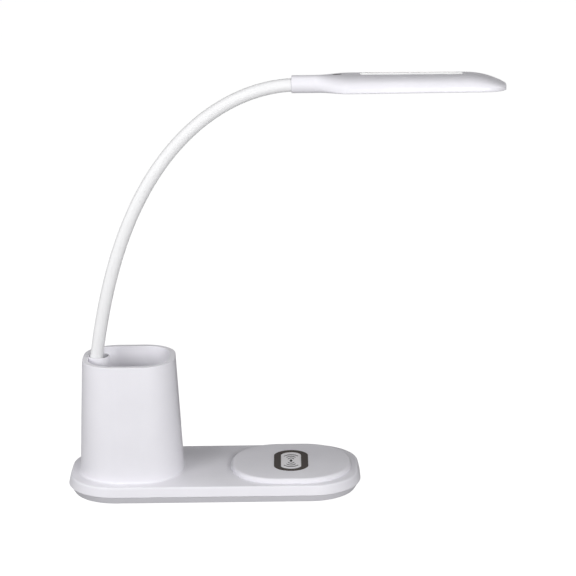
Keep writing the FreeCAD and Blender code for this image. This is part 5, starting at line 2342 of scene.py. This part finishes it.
@dataclass(frozen=True)
class SoftBox:
    """Soft box beside the lamp, turned to face it (degrees, metres, watts).

    turn_deg is seen from above, from the front towards the right; rise_deg is the height of
    the box's middle over the level line.
    """

    name: str
    turn_deg: float
    rise_deg: float
    reach: float
    size: Pair
    power: float
    aim: Triple = (0.03, 0.0, 0.12)
    shine_only: bool = False

    def build(self) -> None:
        """Stand the box in the studio; it lights the lamp but isn't seen."""
        turn, rise = math.radians(self.turn_deg), math.radians(self.rise_deg)
        level = math.cos(rise)
        outward = Vector((level * math.sin(turn), -level * math.cos(turn), math.sin(rise)))
        data = bpy.data.lights.new(self.name, "AREA")
        data.shape = "RECTANGLE"
        data.size, data.size_y = self.size
        data.energy = self.power
        light = bpy.data.objects.new(self.name, data)
        bpy.context.scene.collection.objects.link(light)
        light.location = Vector(self.aim) + outward * self.reach
        light.rotation_euler = (-outward).to_track_quat("-Z", "Y").to_euler()
        light.visible_camera = False
        light.visible_diffuse = not self.shine_only


@dataclass
class Studio:
    """Pale floor, soft lights and the camera (metres)."""

    camera_place: Triple = (0.06467, -1.5492, 0.5847)
    pitch_deg: float = 14.85
    roll_deg: float = -0.695
    lens: float = 118.906
    sensor: float = 36.0
    clip: Pair = (0.05, 50.0)
    floor_side: float = 12.0
    floor_drop: float = 0.0001
    floor_white: float = 1.0
    floor_light: float = 0.13
    room_light: float = 0.02
    card_place: Triple = (0.0, 0.16, 0.03)
    card_size: Pair = (0.5, 0.06)
    boxes: tuple[SoftBox, ...] = (
        SoftBox("front_box", 20.0, 14.0, 1.1, (0.5, 0.35), 7.4),
        SoftBox("left_front_box", -40.0, 20.0, 1.1, (0.45, 0.35), 3.0),
        SoftBox("high_left_box", -40.0, 48.0, 1.1, (0.45, 0.35), 1.8),
        SoftBox("left_box", -85.0, 20.0, 1.1, (0.5, 0.45), 3.8),
        SoftBox("right_box", 80.0, 30.0, 1.1, (0.5, 0.45), 2.0),
        SoftBox("back_box", 180.0, 8.0, 1.1, (1.0, 0.25), 1.13),
        SoftBox("head_box", 40.0, 82.0, 0.64, (0.35, 0.2), 0.46),
        SoftBox("shine_strip", 180.0, 8.6, 0.62, (0.7, 0.09), 0.22, (0.1, 0.0, 0.352), True),
    )

    def build(self) -> None:
        """Set up the whole studio."""
        self.view()
        self.floor()
        self.card()
        self.sky()
        for box in self.boxes:
            box.build()
        self.camera()

    def view(self) -> None:
        """Plain display of the render's colours."""
        settings = bpy.context.scene.view_settings
        settings.view_transform = "Standard"
        settings.look = "None"

    def floor(self) -> None:
        """Pale floor: plain white paper to the eye, a softer light on the lamp."""
        bpy.ops.object.select_all(action="DESELECT")
        place = (0.0, 0.0, -self.floor_drop)
        bpy.ops.mesh.primitive_plane_add(size=self.floor_side, location=place)
        plane = bpy.context.object
        plane.name = "studio_floor"
        material, board, shader = start_material("Pale floor")
        colour, rough = add_mottle(
            board, grey(0.22), grey(0.2), roughness=0.9, spread=0.05, Scale=3.0,
        )
        path = board.add("ShaderNodeLightPath")
        extra = self.floor_white - self.floor_light
        seen = board.math("MULTIPLY", path.outputs["Is Camera Ray"], extra)
        board.supply(shader, {
            "Base Color": colour,
            "Roughness": rough,
            "Specular IOR Level": 0.0,
            "Emission Strength": board.math("ADD", seen, self.floor_light),
            "Emission Color": rgba(grey(1.0)),
        })
        self.clear_from_below(board, shader)
        plane.data.materials.append(material)

    def clear_from_below(self, board: Board, shader: Node) -> None:
        """Let the floor be looked through from underneath.

        Args:
            board: Board of the floor's material.
            shader: Its shader.
        """
        output = next(node for node in board.tree.nodes if node.type == "OUTPUT_MATERIAL")
        face = board.add("ShaderNodeNewGeometry")
        clear = board.add("ShaderNodeBsdfTransparent")
        mix = board.add("ShaderNodeMixShader", {
            0: face.outputs["Backfacing"], 1: shader.outputs[0], 2: clear.outputs[0],
        })
        board.supply(output, {"Surface": mix.outputs[0]})

    def card(self) -> None:
        """Dark card behind the base, which takes the shine off the rear of its top."""
        bpy.ops.object.select_all(action="DESELECT")
        bpy.ops.mesh.primitive_plane_add(
            size=1.0, location=self.card_place, rotation=(math.pi / 2, 0.0, 0.0)
        )
        card = bpy.context.object
        card.name = "studio_card"
        card.scale = (*self.card_size, 1.0)
        bpy.ops.object.transform_apply(location=False, rotation=True, scale=True)
        material, board, shader = start_material("Dark card")
        colour, rough = add_mottle(
            board, grey(0.03), grey(0.04), roughness=0.95, spread=0.02, Scale=200.0,
        )
        board.supply(shader, {"Base Color": colour, "Roughness": rough})
        card.data.materials.append(material)
        card.visible_camera = False

    def sky(self) -> None:
        """Dim room round the lamp, plain white to the camera behind it."""
        world = bpy.data.worlds.new("Studio room")
        bpy.context.scene.world = world
        world.use_nodes = True
        board = Board(world.node_tree)
        white = rgba(grey(1.0))
        room = board.add("ShaderNodeBackground", {"Color": white, "Strength": self.room_light})
        backdrop = board.add("ShaderNodeBackground", {"Color": white})
        path = board.add("ShaderNodeLightPath")
        mix = board.add("ShaderNodeMixShader", {
            0: path.outputs["Is Camera Ray"], 1: room.outputs[0], 2: backdrop.outputs[0],
        })
        board.add("ShaderNodeOutputWorld", {"Surface": mix.outputs[0]})

    def camera(self) -> None:
        """Camera at the height of a seated viewer, looking slightly down."""
        data = bpy.data.cameras.new("camera")
        camera = bpy.data.objects.new("camera", data)
        bpy.context.scene.collection.objects.link(camera)
        pitch, roll = math.radians(self.pitch_deg), math.radians(self.roll_deg)
        level_right = Vector((1.0, 0.0, 0.0))
        level_up = Vector((0.0, math.sin(pitch), math.cos(pitch)))
        right = level_right * math.cos(roll) + level_up * math.sin(roll)
        upward = level_up * math.cos(roll) - level_right * math.sin(roll)
        backward = right.cross(upward)
        turn = Matrix((right, upward, backward)).transposed().to_4x4()
        camera.matrix_world = Matrix.Translation(Vector(self.camera_place)) @ turn
        data.sensor_fit = "HORIZONTAL"
        data.sensor_width = self.sensor
        data.lens = self.lens
        data.clip_start, data.clip_end = self.clip
        bpy.context.scene.camera = camera


def main() -> None:
    """Build the lamp and its studio."""
    shop = Workshop(build_finishes())
    inlet, pad, arm = PowerInlet(shop), ChargingPad(shop), Gooseneck(shop)
    parts = (
        LampBase(shop, pad, inlet), inlet, pad, PenCup(shop), arm, LampHead(shop, arm),
        InnerPieces(shop),
    )
    for part in parts:
        part.build()
        log.info("%s done", type(part).__name__)
    Studio().build()


if __name__ == "__main__":
    main()
